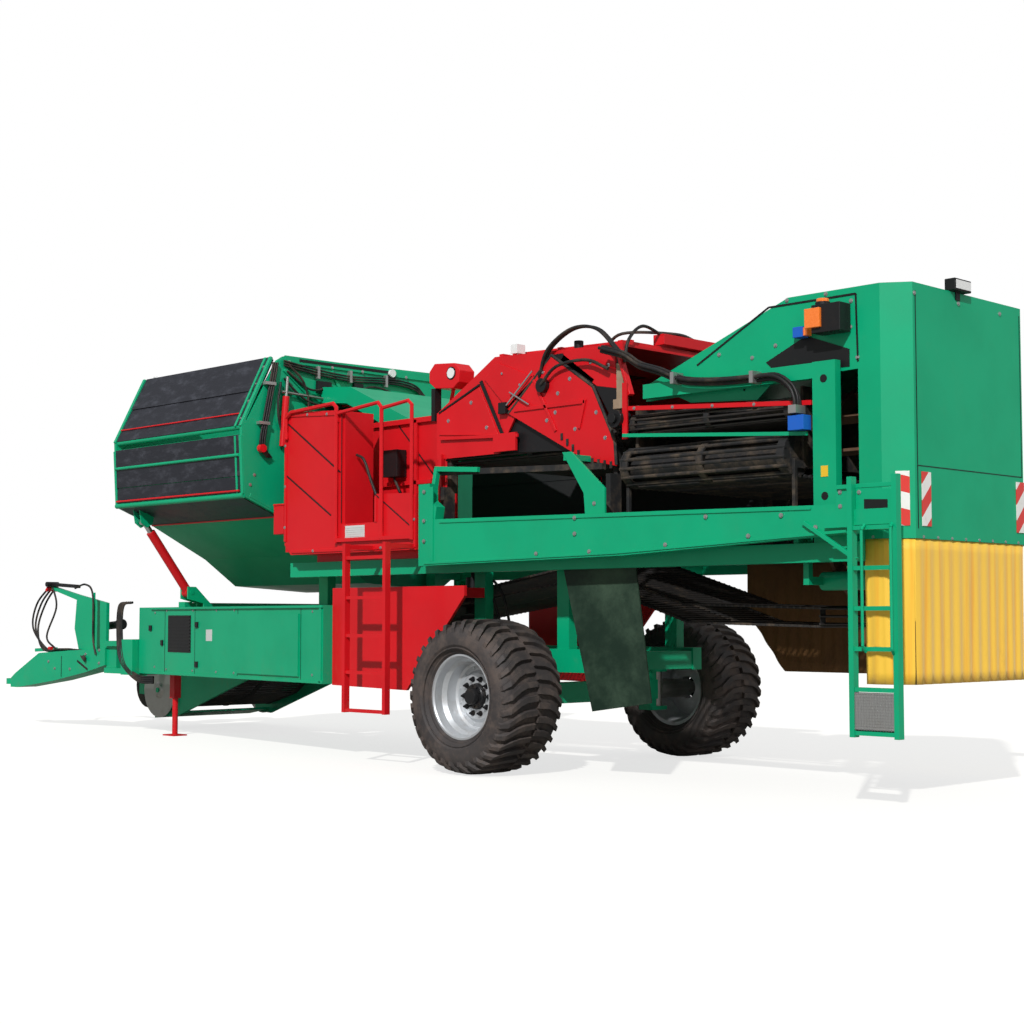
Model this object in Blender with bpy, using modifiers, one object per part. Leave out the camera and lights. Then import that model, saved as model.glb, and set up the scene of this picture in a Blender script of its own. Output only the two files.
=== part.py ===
"""Two-row trailed potato harvester with a bunker, standing on its wheels and its parking jack.

Metres. X runs forward from the wheel axle, Y to the left and Z up from the ground. The root empty
moves the machine so that the centre of its length is at the origin.
"""
import math

import bmesh
import bpy
from mathutils import Vector

# Wheels, steering and axle
wheelRadius = 0.655
tyreWidth = 0.70
trackHalf = 1.37
rimRadius = 0.355
kingpinY = 0.86
spindleRadius = 0.055
axleHalf = 0.09

# Overall lengths
eyeX = 9.27
tailX = -4.12

# Main frame
railY = 0.72
railHalfWidth = 0.06
railLow = 0.85
railHigh = 1.05
railRear = -0.62
chordY = 1.11
chordLow = 1.72
chordHigh = 1.86
digJointX = 4.35
digJointZ = 0.95

# Side beams and platform
beamOut = 1.35
beamThick = 0.10
platformFront = 2.86
platformRear = 0.92
platformLow = 1.93
platformTop = 3.33

# Elevator cowl, its ring and its curtain
cowlHalf = 1.05
cowlRear = -3.95
cowlLow = 1.88
cowlTop = 3.72
sheet = 0.02
curtainLow = 0.84
curtainThick = 0.012
curtainFront = -0.95
cowlEdge = -3.57
ringRadius = 0.94
ringDepth = 0.11
ringZ = 2.24
ringFront = -3.12
ringRear = -3.56

# Bunker
bunkerRear = 3.08
bunkerFront = 5.40
bunkerWall = 0.05
kneeY = 1.66
kneeZ = 3.20
bunkerPivotY = -1.25
bunkerPivotZ = 1.72
ramX = 5.12

# Cabinet and drawbar
cabinetLow = 0.70
cabinetTop = 1.44
doorThick = 0.018
drawbarPivotX = 6.72
drawbarY = 0.78

# Lift cylinder of the bunker: Y, Z of its two pins; steering cylinder of the drawbar: X, Y of its two pins
liftFoot = (0.93, 1.60)
liftHead = (1.50, 2.35)
steerFoot = (5.45, 0.37)
steerHead = (7.05, 0.52)
steerZ = 0.80
barrelRadius = 0.048
rodRadius = 0.03

# Parking jack
jackX = 5.90
jackY = 0.56

# Digging unit
digLeft = -0.06
digRight = -1.50
discRadius = 0.33
discX = 7.10
rollerX = 7.52
tillZ = 0.46

fit = 0.0004
pinRadius = 0.03

green = ((0.004, 0.42, 0.19), 0.35, 0.0)
red = ((0.80, 0.018, 0.022), 0.35, 0.0)
yellow = ((0.90, 0.50, 0.04), 0.8, 0.0)
black = ((0.02, 0.02, 0.022), 0.6, 0.0)
steel = ((0.45, 0.45, 0.44), 0.4, 0.8)
rubber = ((0.035, 0.03, 0.028), 0.85, 0.0)
silver = ((0.62, 0.64, 0.65), 0.35, 0.6)

for old in list(bpy.data.objects):
    bpy.data.objects.remove(old)
parts = bpy.data.collections.new("potato_harvester")
helpers = bpy.data.collections.new("cutters")
for collection in (parts, helpers):
    bpy.context.scene.collection.children.link(collection)


def addEmpty(name, at, parent=None):
    empty = bpy.data.objects.new(name, None)
    parts.objects.link(empty)
    empty.location = at
    empty.parent = parent
    return empty


root = addEmpty("harvester", (-(eyeX + tailX) / 2, 0, 0))
pivots = {"chassis": Vector((0, 0, 0))}
empties = {"chassis": root}


def addBody(name, pivot, parent="chassis"):
    """An empty on the joint's axis, which carries the pieces that move together."""
    pivots[name] = Vector(pivot)
    empties[name] = addEmpty(name + "_pivot", pivots[name] - pivots[parent], empties[parent])


def helper(name, data, at=(0, 0, 0), turn=(0, 0, 0)):
    piece = bpy.data.objects.new(name, data)
    helpers.objects.link(piece)
    piece.location = at
    piece.rotation_euler = turn
    piece.hide_render = True
    piece.display_type = "WIRE"
    return piece


def settled(piece):
    """The same piece as a plain closed mesh, with its modifiers and caps worked in."""
    bpy.context.view_layer.update()
    ready = piece.evaluated_get(bpy.context.evaluated_depsgraph_get())
    mesh = bpy.data.meshes.new_from_object(ready)
    bm = bmesh.new()
    bm.from_mesh(mesh)
    bmesh.ops.remove_doubles(bm, verts=bm.verts, dist=0.00001)
    bmesh.ops.recalc_face_normals(bm, faces=bm.faces)
    bm.to_mesh(mesh)
    bm.free()
    fresh = helper(piece.name, mesh, piece.location, piece.rotation_euler)
    bpy.data.objects.remove(piece)
    return fresh


def block(low, high, turn=(0, 0, 0)):
    """A box between two corners."""
    low, high = Vector(low), Vector(high)
    bm = bmesh.new()
    bmesh.ops.create_cube(bm, size=1.0)
    bmesh.ops.scale(bm, vec=high - low, verts=bm.verts)
    mesh = bpy.data.meshes.new("block")
    bm.to_mesh(mesh)
    bm.free()
    return helper("block", mesh, (low + high) / 2, turn)


def beam(start, end, across, tall):
    """A box section from one point to another."""
    start, end = Vector(start), Vector(end)
    bar = block((0, 0, 0), ((end - start).length, across, tall))
    bar.location = (start + end) / 2
    bar.rotation_euler = (end - start).to_track_quat("X", "Z").to_euler()
    return bar


def rod(start, end, radius, sides=12):
    """A round bar from one point to another."""
    start, end = Vector(start), Vector(end)
    bm = bmesh.new()
    bmesh.ops.create_cone(bm, cap_ends=True, segments=sides, radius1=radius, radius2=radius,
                          depth=(end - start).length)
    mesh = bpy.data.meshes.new("rod")
    bm.to_mesh(mesh)
    bm.free()
    return helper("rod", mesh, (start + end) / 2, (end - start).to_track_quat("Z", "Y").to_euler())


turns = {"XZ": (math.pi / 2, 0, 0), "YZ": (math.pi / 2, 0, math.pi / 2), "XY": (0, 0, 0)}
normals = {"XZ": Vector((0, 1, 0)), "YZ": Vector((1, 0, 0)), "XY": Vector((0, 0, 1))}


def plate(plane, outline, low, high):
    """A flat outline in one plane, as thick as the two levels that it lies between."""
    curve = bpy.data.curves.new("plate", "CURVE")
    curve.dimensions = "2D"
    curve.fill_mode = "BOTH"
    curve.extrude = (high - low) / 2
    line = curve.splines.new("POLY")
    line.points.add(len(outline) - 1)
    for point, (u, v) in zip(line.points, outline):
        point.co = (u, v, 0, 1)
    line.use_cyclic_u = True
    return settled(helper("plate", curve, normals[plane] * (low + high) / 2, turns[plane]))


def pipe(points, radius):
    curve = bpy.data.curves.new("pipe", "CURVE")
    curve.dimensions = "3D"
    curve.bevel_depth = radius
    curve.bevel_resolution = 1
    curve.use_fill_caps = True
    line = curve.splines.new("POLY")
    line.points.add(len(points) - 1)
    for point, co in zip(line.points, points):
        point.co = (*co, 1)
    return settled(helper("pipe", curve))


def turned(profile, at, axis="Y", sides=32):
    """A closed (radius, level) profile turned round an axis through a point."""
    bm = bmesh.new()
    corners = [bm.verts.new((radius, 0, level)) for radius, level in profile]
    for first, second in zip(corners, corners[1:] + corners[:1]):
        bm.edges.new((first, second))
    mesh = bpy.data.meshes.new("turned")
    bm.to_mesh(mesh)
    bm.free()
    piece = helper("turned", mesh, at)
    piece.rotation_euler = {"Y": (-math.pi / 2, 0, 0), "X": (0, math.pi / 2, 0), "Z": (0, 0, 0)}[axis]
    screw = piece.modifiers.new("screw", "SCREW")
    screw.steps = screw.render_steps = sides
    screw.use_merge_vertices = True
    screw.merge_threshold = 0.0001
    return settled(piece)


def combine(first, others, operation):
    for other in others:
        cut = first.modifiers.new(operation.lower(), "BOOLEAN")
        cut.operation = operation
        cut.object = other


materials = {}


def node(name, finish, pieces, cuts=(), body="chassis"):
    """One named piece of the machine: its first solid, with the rest joined on and the cuts taken."""
    first = pieces[0]
    helpers.objects.unlink(first)
    parts.objects.link(first)
    first.name = name
    first.hide_render = False
    first.display_type = "TEXTURED"
    for piece in (*pieces, *cuts):
        piece.location = piece.location - pivots[body]
        piece.parent = empties[body]
    combine(first, pieces[1:], "UNION")
    combine(first, cuts, "DIFFERENCE")
    colour, roughness, metallic = finish
    material = bpy.data.materials.new(name)
    material.use_nodes = True
    surface = material.node_tree.nodes["Principled BSDF"]
    surface.inputs["Base Color"].default_value = (*colour, 1)
    surface.inputs["Roughness"].default_value = roughness
    surface.inputs["Metallic"].default_value = metallic
    first.data.materials.clear()
    first.data.materials.append(material)
    return first


def offsetStrip(path, thick):
    """A closed outline: a path, and the same path moved to its left by a thickness."""
    inner = []
    for index, point in enumerate(path):
        here = Vector(point)
        before = (here - Vector(path[index - 1])).normalized() if index else None
        after = (Vector(path[index + 1]) - here).normalized() if index < len(path) - 1 else None
        if before is None or after is None:
            run = after or before
            inner.append(here + Vector((-run.y, run.x)) * thick)
            continue
        sides = Vector((-before.y, before.x)), Vector((-after.y, after.x))
        middle = (sides[0] + sides[1]).normalized()
        inner.append(here + middle * thick / middle.dot(sides[0]))
    return list(path) + [tuple(point) for point in reversed(inner)]


def makeWheels():
    halfTyre = tyreWidth / 2
    for name, side in (("left", 1), ("right", -1)):
        hub = (0, side * trackHalf, wheelRadius)
        addBody(name + "_knuckle", (0, side * kingpinY, wheelRadius))
        addBody(name + "_wheel", hub, name + "_knuckle")
        # radius, level across the tyre
        tyre = [(wheelRadius, -halfTyre + 0.07), (wheelRadius, halfTyre - 0.07), (wheelRadius - 0.045, halfTyre - 0.01),
                (wheelRadius - 0.13, halfTyre), (rimRadius + 0.02, halfTyre - 0.055), (rimRadius, halfTyre - 0.08),
                (rimRadius, -halfTyre + 0.08), (rimRadius + 0.02, -halfTyre + 0.055), (wheelRadius - 0.13, -halfTyre),
                (wheelRadius - 0.045, -halfTyre + 0.01)]
        node(name + "_tyre", rubber, [turned(tyre, hub, sides=40)], body=name + "_wheel")
        seat = rimRadius - 0.0006
        bore = spindleRadius + 0.0008
        disc = 0.06
        rim = [(seat, -0.27), (seat, 0.27), (seat - 0.025, 0.27), (seat - 0.06, 0.12), (0.16, disc + 0.03),
               (0.13, disc + 0.02), (0.13, disc + 0.07), (bore, disc + 0.07), (bore, disc - 0.10), (0.15, disc - 0.10),
               (0.16, disc), (seat - 0.075, 0.10), (seat - 0.03, -0.27)]
        rim = [(radius, side * level) for radius, level in rim]
        node(name + "_rim", silver, [turned(rim, hub, sides=40)], body=name + "_wheel")
        knuckle = [
            rod((0, side * kingpinY, wheelRadius - 0.16), (0, side * kingpinY, wheelRadius + 0.16), 0.06, 16),
            rod((0, side * kingpinY, wheelRadius), (0, side * (trackHalf + 0.125), wheelRadius), spindleRadius, 40),
            rod((0, side * kingpinY, wheelRadius), (0, side * (trackHalf - 0.05), wheelRadius), 0.09, 16),
        ]
        node(name + "_knuckle", steel, knuckle, body=name + "_knuckle")


def makeAxle():
    top, ear = railLow - fit, 0.16 + fit
    bottom = 2 * wheelRadius - top
    pieces = [block((-axleHalf, -0.79, wheelRadius - axleHalf), (axleHalf, 0.79, wheelRadius + axleHalf))]
    for side in (1, -1):
        inner, outer = sorted((side * 0.71, side * 0.93))
        pieces.append(block((-0.08, inner, wheelRadius + ear), (0.08, outer, top)))
        pieces.append(block((-0.08, inner, bottom), (0.08, outer, wheelRadius - ear)))
        inner, outer = sorted((side * 0.70, side * 0.788))
        pieces.append(block((-0.07, inner, bottom + 0.001), (0.07, outer, top - 0.001)))
    node("axle_beam", green, pieces)


def makeFrame():
    pieces = [block((-3.62, chordY - 0.05, chordLow), (3.0, chordY + 0.05, chordHigh))]
    pieces.append(block((-3.62, -chordY - 0.05, chordLow), (3.0, -chordY + 0.05, chordHigh)))
    for side in (1, -1):
        low, high = side * railY - railHalfWidth, side * railY + railHalfWidth
        pieces.append(block((railRear, low, railLow), (4.0 if side < 0 else 6.45, high, railHigh)))
        for x in (-0.42, 0.62, 2.9):
            pieces.append(block((x, low + 0.01, railHigh - 0.02), (x + 0.14, high - 0.01, chordHigh - 0.01)))
            inner, outer = sorted((side * (railY - 0.03), side * chordY))
            pieces.append(block((x + 0.01, inner, chordLow + 0.01), (x + 0.13, outer, chordHigh - 0.02)))
        for x in (-3.59, -1.50, 0.60):
            inner, outer = sorted((side * chordY, side * (beamOut - beamThick - fit)))
            pieces.append(block((x, inner, chordHigh - 0.05), (x + 0.12, outer, chordHigh + 0.09)))
    for x in (railRear + 0.01, 2.1, 3.86):
        pieces.append(block((x, -railY, railLow + 0.01), (x + 0.13, railY, railHigh - 0.03)))
    # outrigger and lugs of the digging unit
    pieces.append(block((3.87, digRight - 0.12, railLow + 0.015), (3.98, -railY, railHigh - 0.035)))
    for y in (digRight - 0.09, digLeft + 0.05):
        pieces.append(plate("XZ", [(3.95, 0.86), (4.40, 0.88), (4.43, 0.95), (4.40, 1.02), (3.95, 1.01)], y, y + 0.04))
        pieces.append(rod((digJointX, y - 0.007, digJointZ), (digJointX, y + 0.047, digJointZ), 0.053, 16))
    # bunker supports: a post and a lug behind the bunker, a bridge and a lug in front of it
    rearLug, frontLug = bunkerRear - 0.06, bunkerFront + 0.02
    pieces.append(block((2.92, bunkerPivotY - 0.05, chordLow - 0.30), (rearLug + 0.035, -railY, chordLow - 0.16)))
    pieces.append(block((2.92, -railY - 0.05, railHigh - 0.02), (rearLug + 0.03, -railY + 0.04, chordLow - 0.17)))
    pieces.append(block((2.93, bunkerPivotY - 0.045, chordLow - 0.29), (rearLug + 0.035, bunkerPivotY + 0.045, bunkerPivotZ + 0.06)))
    pieces.append(block((frontLug, railY - 0.05, railHigh - 0.02), (frontLug + 0.12, railY + 0.05, 1.50)))
    pieces.append(block((frontLug + 0.005, bunkerPivotY - 0.05, 1.38), (frontLug + 0.115, railY, 1.49)))
    pieces.append(block((frontLug, bunkerPivotY - 0.045, 1.39), (frontLug + 0.10, bunkerPivotY + 0.045, bunkerPivotZ + 0.06)))
    # ears for the bunker's lift cylinder, over the cabinet, and the pin in them
    ear = [(0.665, 1.03), (0.775, 1.03), (0.775, 1.48), (0.98, 1.53), (0.98, 1.66), (0.88, 1.66), (0.665, 1.46)]
    for x in (ramX - 0.075, ramX + 0.055):
        pieces.append(plate("YZ", ear, x, x + 0.02))
    pieces.append(block((ramX - 0.07, 0.68, 1.02), (ramX + 0.07, 0.76, 1.44)))
    pieces.append(rod((ramX - 0.08, *liftFoot), (ramX + 0.08, *liftFoot), 0.025, 24))
    # shelf and pin of the steering cylinder
    pieces.append(block((steerFoot[0] - 0.06, steerFoot[1] - 0.05, steerZ - 0.08), (steerFoot[0] + 0.06, 0.67, steerZ - 0.06)))
    pieces.append(block((steerFoot[0] - 0.053, 0.625, steerZ - 0.073), (steerFoot[0] + 0.053, 0.678, railLow + 0.03)))
    pieces.append(rod((*steerFoot, steerZ - 0.07), (*steerFoot, steerZ + 0.05), 0.025, 24))
    # rollers on which the elevator ring runs, on arms from the chords
    seat, lean = ringRadius + 0.07 + fit, math.radians(-40)
    y, z = seat * math.cos(lean), ringZ + seat * math.sin(lean)
    front = ringFront + 0.02
    # inner and outer Y, low and high Z of each arm's three bars
    arms = ((y - 0.01, 1.02, z - 0.03, z + 0.03), (0.97, 1.021, z - 0.031, 1.96), (0.971, chordY + 0.03, 1.90, 1.959),
            (chordY - 0.03, chordY + 0.031, chordHigh - 0.02, 1.958))
    for side in (1, -1):
        pieces.append(rod((ringRear - 0.02, side * y, z), (front + 0.04, side * y, z), 0.07, 36))
        for step, (inner, outer, low, high) in enumerate(arms):
            inner, outer = sorted((side * inner, side * outer))
            pieces.append(block((front + 0.001 * step, inner, low), (front + 0.05 - 0.001 * step, outer, high)))
    # neck, clevis of the drawbar and bracket of its cylinder
    pieces.append(block((6.20, 0.62, 0.68), (6.44, 0.94, 1.08)))
    for low in (0.69, 1.00):
        pieces.append(block((6.42, 0.63, low), (drawbarPivotX + 0.09, 0.93, low + 0.06)))
    hole = pinRadius + 0.0008
    cuts = [rod((2.8, bunkerPivotY, bunkerPivotZ), (bunkerRear, bunkerPivotY, bunkerPivotZ), hole, 24),
            rod((bunkerFront, bunkerPivotY, bunkerPivotZ), (5.8, bunkerPivotY, bunkerPivotZ), hole, 24),
            rod((digJointX, -2, digJointZ), (digJointX, 0.3, digJointZ), hole, 24),
            rod((drawbarPivotX, drawbarY, 0.6), (drawbarPivotX, drawbarY, 1.2), hole, 24)]
    node("main_frame", green, pieces, cuts)


def makeSideBeams():
    # X, Z outline: tall front post plate, then a beam that tapers to the rear
    outline = [(0.88, 1.78), (0.88, 2.51), (0.73, 2.51), (0.73, 2.36), (0.64, 2.30), (0.66, 2.19), (-3.40, 2.12),
               (-3.70, 2.12), (-3.70, 1.91), (-1.54, 1.81)]
    for name, side in (("left", 1), ("right", -1)):
        low, high = sorted((side * beamOut, side * (beamOut - beamThick)))
        node(name + "_side_beam", green, [plate("XZ", outline, low, high)])


def makeCowl():
    chamferLeft, chamferRight = (-3.76, 0.92), (-3.60, -0.62)
    plan = [(cowlEdge, cowlHalf), (chamferLeft[0], cowlHalf), (cowlRear, chamferLeft[1]), (cowlRear, chamferRight[1]),
            (chamferRight[0], -cowlHalf), (-3.14, -cowlHalf)]
    walls = plate("XY", offsetStrip(plan, sheet), cowlLow, cowlTop - 0.005)
    roof = plate("XY", [(-2.95, cowlHalf - 0.001), *plan[1:5], (-2.95, -cowlHalf + 0.001)], cowlTop - sheet, cowlTop)
    cheek = [(cowlEdge - 0.03, 3.12), (cowlEdge - 0.03, cowlTop - 0.004), (-2.95, cowlTop - 0.004), (-1.55, 3.19), (-1.55, 3.06)]
    sides = [plate("XZ", cheek, cowlHalf - sheet, cowlHalf - 0.0005), plate("XZ", cheek, -cowlHalf + 0.0005, -cowlHalf + sheet)]
    apron = [beam((-2.95, 0, cowlTop - 0.012), (-1.60, 0, 3.20), 2 * cowlHalf - 0.01, sheet)]
    feet = [block((-3.615, side * cowlHalf - 0.04 * (side < 0), chordHigh + fit),
                  (cowlEdge - 0.001, side * cowlHalf + 0.04 * (side > 0), cowlLow + 0.2)) for side in (1, -1)]
    node("elevator_cowl", green, [walls, roof, *sides, *apron, *feet])
    inset = 0.004
    skirt = [(cowlEdge - 0.03, cowlHalf - inset), (chamferLeft[0], cowlHalf - inset), (cowlRear + inset, chamferLeft[1] - 0.003),
             (cowlRear + inset, chamferRight[1] + 0.002), (chamferRight[0], -cowlHalf + inset), (curtainFront, -cowlHalf + inset)]
    front = [(curtainFront - 0.487, curtainLow - 0.1), (curtainFront + 0.1, curtainLow - 0.1), (curtainFront + 0.1, 1.51)]
    slant = plate("XZ", front, -cowlHalf - 0.1, -cowlHalf + 0.1)
    step = block((-3.1, -cowlHalf - 0.1, chordHigh - 0.015), (curtainFront + 0.1, -cowlHalf + 0.1, cowlLow + 0.1))
    node("curtain", yellow, [plate("XY", offsetStrip(skirt, curtainThick), curtainLow, cowlLow - fit)], [slant, step])


def makeRing():
    addBody("ring_elevator", ((ringFront + ringRear) / 2, 0, ringZ))
    inner = ringRadius - ringDepth
    pieces = []
    for x in (ringRear, ringFront - 0.03):
        hoop = [(ringRadius, 0), (ringRadius, 0.03), (inner, 0.03), (inner, 0)]
        pieces.append(turned(hoop, (x, 0, ringZ), "X", 36))
    count = 18
    for index in range(count):
        angle = 2 * math.pi * index / count
        radius = ringRadius - ringDepth / 2
        centre = Vector((0, math.cos(angle), math.sin(angle))) * radius
        paddle = block((ringRear + 0.01, -0.012, -0.04), (ringFront - 0.01, 0.012, 0.04))
        paddle.rotation_euler = (angle - math.pi / 2, 0, 0)
        paddle.location = Vector(((ringFront + ringRear) / 2, 0, ringZ)) + centre
        pieces.append(paddle)
    node("ring_elevator", black, pieces, body="ring_elevator")


def makeWebs():
    # top cross web: a flat loop of bars round two shafts, in the Y, Z plane
    def loop(ends, radius, steps=8):
        (y1, z1), (y2, z2) = ends
        lean = math.atan2(z1 - z2, y1 - y2)
        points = []
        for centre, start in (((y1, z1), -math.pi / 2), ((y2, z2), math.pi / 2)):
            for step in range(steps + 1):
                angle = lean + start + math.pi * step / steps
                points.append((centre[0] + radius * math.cos(angle), centre[1] + radius * math.sin(angle)))
        return points

    lower = plate("YZ", loop(((1.04, 2.53), (-0.90, 2.53)), 0.17), -3.03, -1.38)
    upper = plate("YZ", loop(((1.02, 2.88), (-0.90, 2.88)), 0.09), -3.02, -1.39)
    ends = [plate("YZ", [(-0.98, 2.42), (-0.98, 3.055), (1.03, 3.055), (1.03, 2.42)], x, x + 0.03) for x in (-3.04, -1.40)]
    legs = []
    for x in (-3.0395, -1.3995):
        for side in (1, -1):
            inner, outer = sorted((side * (cowlHalf + 0.012), side * 1.10))
            legs.append(block((x, inner, chordHigh + fit), (x + 0.028, outer, 2.50)))
            inner, outer = sorted((side * 0.96, side * 1.09))
            legs.append(block((x + 0.001, inner, 2.43), (x + 0.027, outer, 2.49)))
    node("cross_web", black, [lower, upper, *ends, *legs])
    second = plate("YZ", loop(((0.92, 2.80), (-0.85, 2.80)), 0.10), -1.22, 0.90)
    legs = []
    for x in (-1.20, 0.82):
        for side in (1, -1):
            low, high = sorted((side * 0.96, side * 1.10))
            legs.append(block((x, low, chordHigh + fit), (x + 0.05, high, 2.50)))
            low, high = sorted((side * 0.93, side * 1.01))
            legs.append(block((x + 0.001, low, 2.45), (x + 0.049, high, 2.80)))
    node("second_web", black, [second, *legs])
    # sieve web under the machine: up from the digging unit, then down to the ring
    sieve = [(3.80, 1.12), (-0.45, 1.80), (-1.60, 1.44), (-2.95, 1.40), (-2.95, 1.24), (-1.64, 1.27), (-0.45, 1.64), (3.80, 1.058)]
    half = railY - railHalfWidth + 0.01 - fit
    node("sieve_web", black, [plate("XZ", sieve, -half, half)])
    feed = [(0.98, 2.72), (0.98, 2.90), (2.60, 3.62), (3.06, 3.66), (3.06, 3.50), (2.66, 3.46), (1.10, 2.74)]
    node("feed_web", green, [plate("XZ", feed, -0.70, 0.74 - fit)])


def makeHoods():
    side = [(0.97, 2.76), (0.97, 3.18), (0.21, 3.62), (-1.30, 3.57), (-1.30, 3.30), (-0.20, 3.30), (0.16, 2.76)]
    cheeks = [plate("XZ", side, y, y + sheet) for y in (1.03, -1.05)]
    roof = [beam((0.965, 0, 3.172), (0.21, 0, 3.612), 2.07, sheet), beam((0.22, 0, 3.608), (-1.295, 0, 3.558), 2.07, sheet)]
    legs = []
    for side in (1, -1):
        low, high = sorted((side * 1.031, side * 1.08))
        legs.append(block((0.876, low, chordHigh + fit), (0.916, high, 2.80)))
    node("front_hood", red, [*cheeks, *roof, *legs])
    flap = [(0.02, 3.10), (-0.50, 3.56), (-0.98, 3.24), (-1.22, 2.77), (-1.24, 2.56), (-0.90, 2.63)]
    node("side_deflector", red, [plate("XZ", flap, 1.05 + fit, 1.05 + fit + sheet)])


def makePlatform():
    out = beamOut - 0.01
    skin = [(platformRear, platformLow), (platformFront - 0.1, platformLow), (platformFront, platformLow + 0.1),
            (platformFront, platformTop), (1.98, platformTop - 0.05), (1.98, 2.20), (1.50, 2.20), (1.50, 2.46),
            (platformRear, 2.44)]
    pieces = [plate("XZ", skin, out - 0.03, out)]
    pieces.append(block((platformRear + 0.002, 0.72, platformLow + 0.002), (platformFront - 0.12, out - 0.01, platformLow + 0.05)))
    pieces.append(block((platformFront - 0.03, 0.72, platformLow + 0.12), (platformFront - 0.001, out - 0.01, 2.9)))
    pieces.append(block((platformFront - 0.15, 0.74, platformLow + 0.03), (platformFront - 0.002, out - 0.011, platformLow + 0.14)))
    pieces.append(block((1.02, 0.74, platformLow + 0.03), (2.3, 0.77, 3.22)))
    pieces.append(block((1.951, 0.98, 2.0), (1.979, out - 0.015, platformTop - 0.06)))
    pieces.append(block((1.952, 0.985, platformLow + 0.03), (1.978, out - 0.02, 2.1)))
    pieces.append(block((1.02, 0.98, chordHigh + fit), (2.6, 1.14, platformLow + 0.01)))
    node("platform", red, pieces)
    y = out + 0.024
    tall, low = 3.31, 2.02
    rails = [pipe([(2.04, y, low), (2.04, y, tall), (2.09, y, tall + 0.04), (2.74, y, tall + 0.01), (2.82, y, tall - 0.04),
                   (2.82, y, 3.06)], 0.0205)]
    rails.append(pipe([(1.38, y, low + 0.02), (1.38, y, tall - 0.06), (1.43, y, tall - 0.01), (2.01, y, tall - 0.06)], 0.0195))
    rails.append(pipe([(0.96, y, low), (0.96, y, tall - 0.07), (1.01, y, tall - 0.03), (1.355, y, tall - 0.065)], 0.0185))
    rails.append(block((0.955, y - 0.014, low + 0.01), (2.045, y + 0.013, low + 0.045)))
    for x, z in ((2.04, 2.06), (1.38, 2.06), (0.96, 2.06), (2.04, 3.20), (platformFront - 0.04, 3.10)):
        rails.append(block((x - 0.018, out + fit, z - 0.03), (x + 0.018, y, z + 0.03)))
    node("platform_rail", red, rails)


def makeLadders():
    # name, finish, X of the two rails, Y, bottom, top, rung levels
    rows = (("front_ladder", red, 0.96, 1.52, 1.655, 0.47, 1.99, (0.49, 0.83, 1.16, 1.50, 1.86)),
            ("rear_ladder", green, -4.10, -3.74, 1.405, 0.49, 2.30, (0.52, 0.82, 1.10, 1.38, 1.66, 1.94)))
    for name, finish, rear, front, y, low, high, rungs in rows:
        pieces = [block((x - 0.02, y - 0.03, low), (x + 0.02, y + 0.03, high)) for x in (rear, front)]
        for z in rungs:
            pieces.append(block((rear, y - 0.02, z - 0.015), (front, y + 0.02, z + 0.015)))
        if name == "front_ladder":
            for x in (rear, front):
                pieces.append(block((x - 0.018, beamOut - 0.01 + fit, high - 0.05), (x + 0.018, y, high - 0.01)))
        else:
            pieces.append(block((front - 0.3, beamOut + fit, 1.95), (front + 0.25, y - 0.025, 2.08)))
            pieces.append(block((rear, beamOut + 0.01, 1.96), (front, y, 2.07)))
            pieces.append(block((rear + 0.02, y - 0.025, 0.53), (front - 0.02, y - 0.015, 0.80)))
        node(name, finish, pieces)


def makeCabinet():
    rearCorner, frontCorner = (2.12, 1.44), (5.88, 0.90)
    back = railY + railHalfWidth + fit
    plan = [(2.12, back), rearCorner, frontCorner, (6.19, 0.86), (6.19, back)]
    shell = plate("XY", plan[::-1], cabinetLow, cabinetTop)
    hollow = plate("XY", [(2.15, back + 0.03), (2.15, 1.405), (5.2, 0.965), (5.2, back + 0.03)][::-1],
                   cabinetLow + 0.03, cabinetTop - 0.03)
    along = (Vector(frontCorner) - Vector(rearCorner)).normalized()
    across = Vector((-along.y, along.x))
    start, end = Vector(rearCorner) + along * 0.45, Vector(rearCorner) + along * 1.70

    def strip(first, last, inset, outset):
        return [tuple(first - across * inset), tuple(last - across * inset), tuple(last + across * outset),
                tuple(first + across * outset)]

    gap = strip(start + along * 0.03, end - along * 0.03, 0.3, 0.1)
    opening = plate("XY", gap, cabinetLow + 0.09, cabinetTop - 0.11)
    node("cabinet", green, [shell], [hollow, opening])
    hinge = end + across * doorThick
    addBody("cabinet_door", (hinge.x, hinge.y, (cabinetLow + cabinetTop) / 2))
    door = plate("XY", strip(start, end, -fit, doorThick), cabinetLow + 0.06, cabinetTop - 0.08)
    node("cabinet_door", green, [door], body="cabinet_door")


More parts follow.
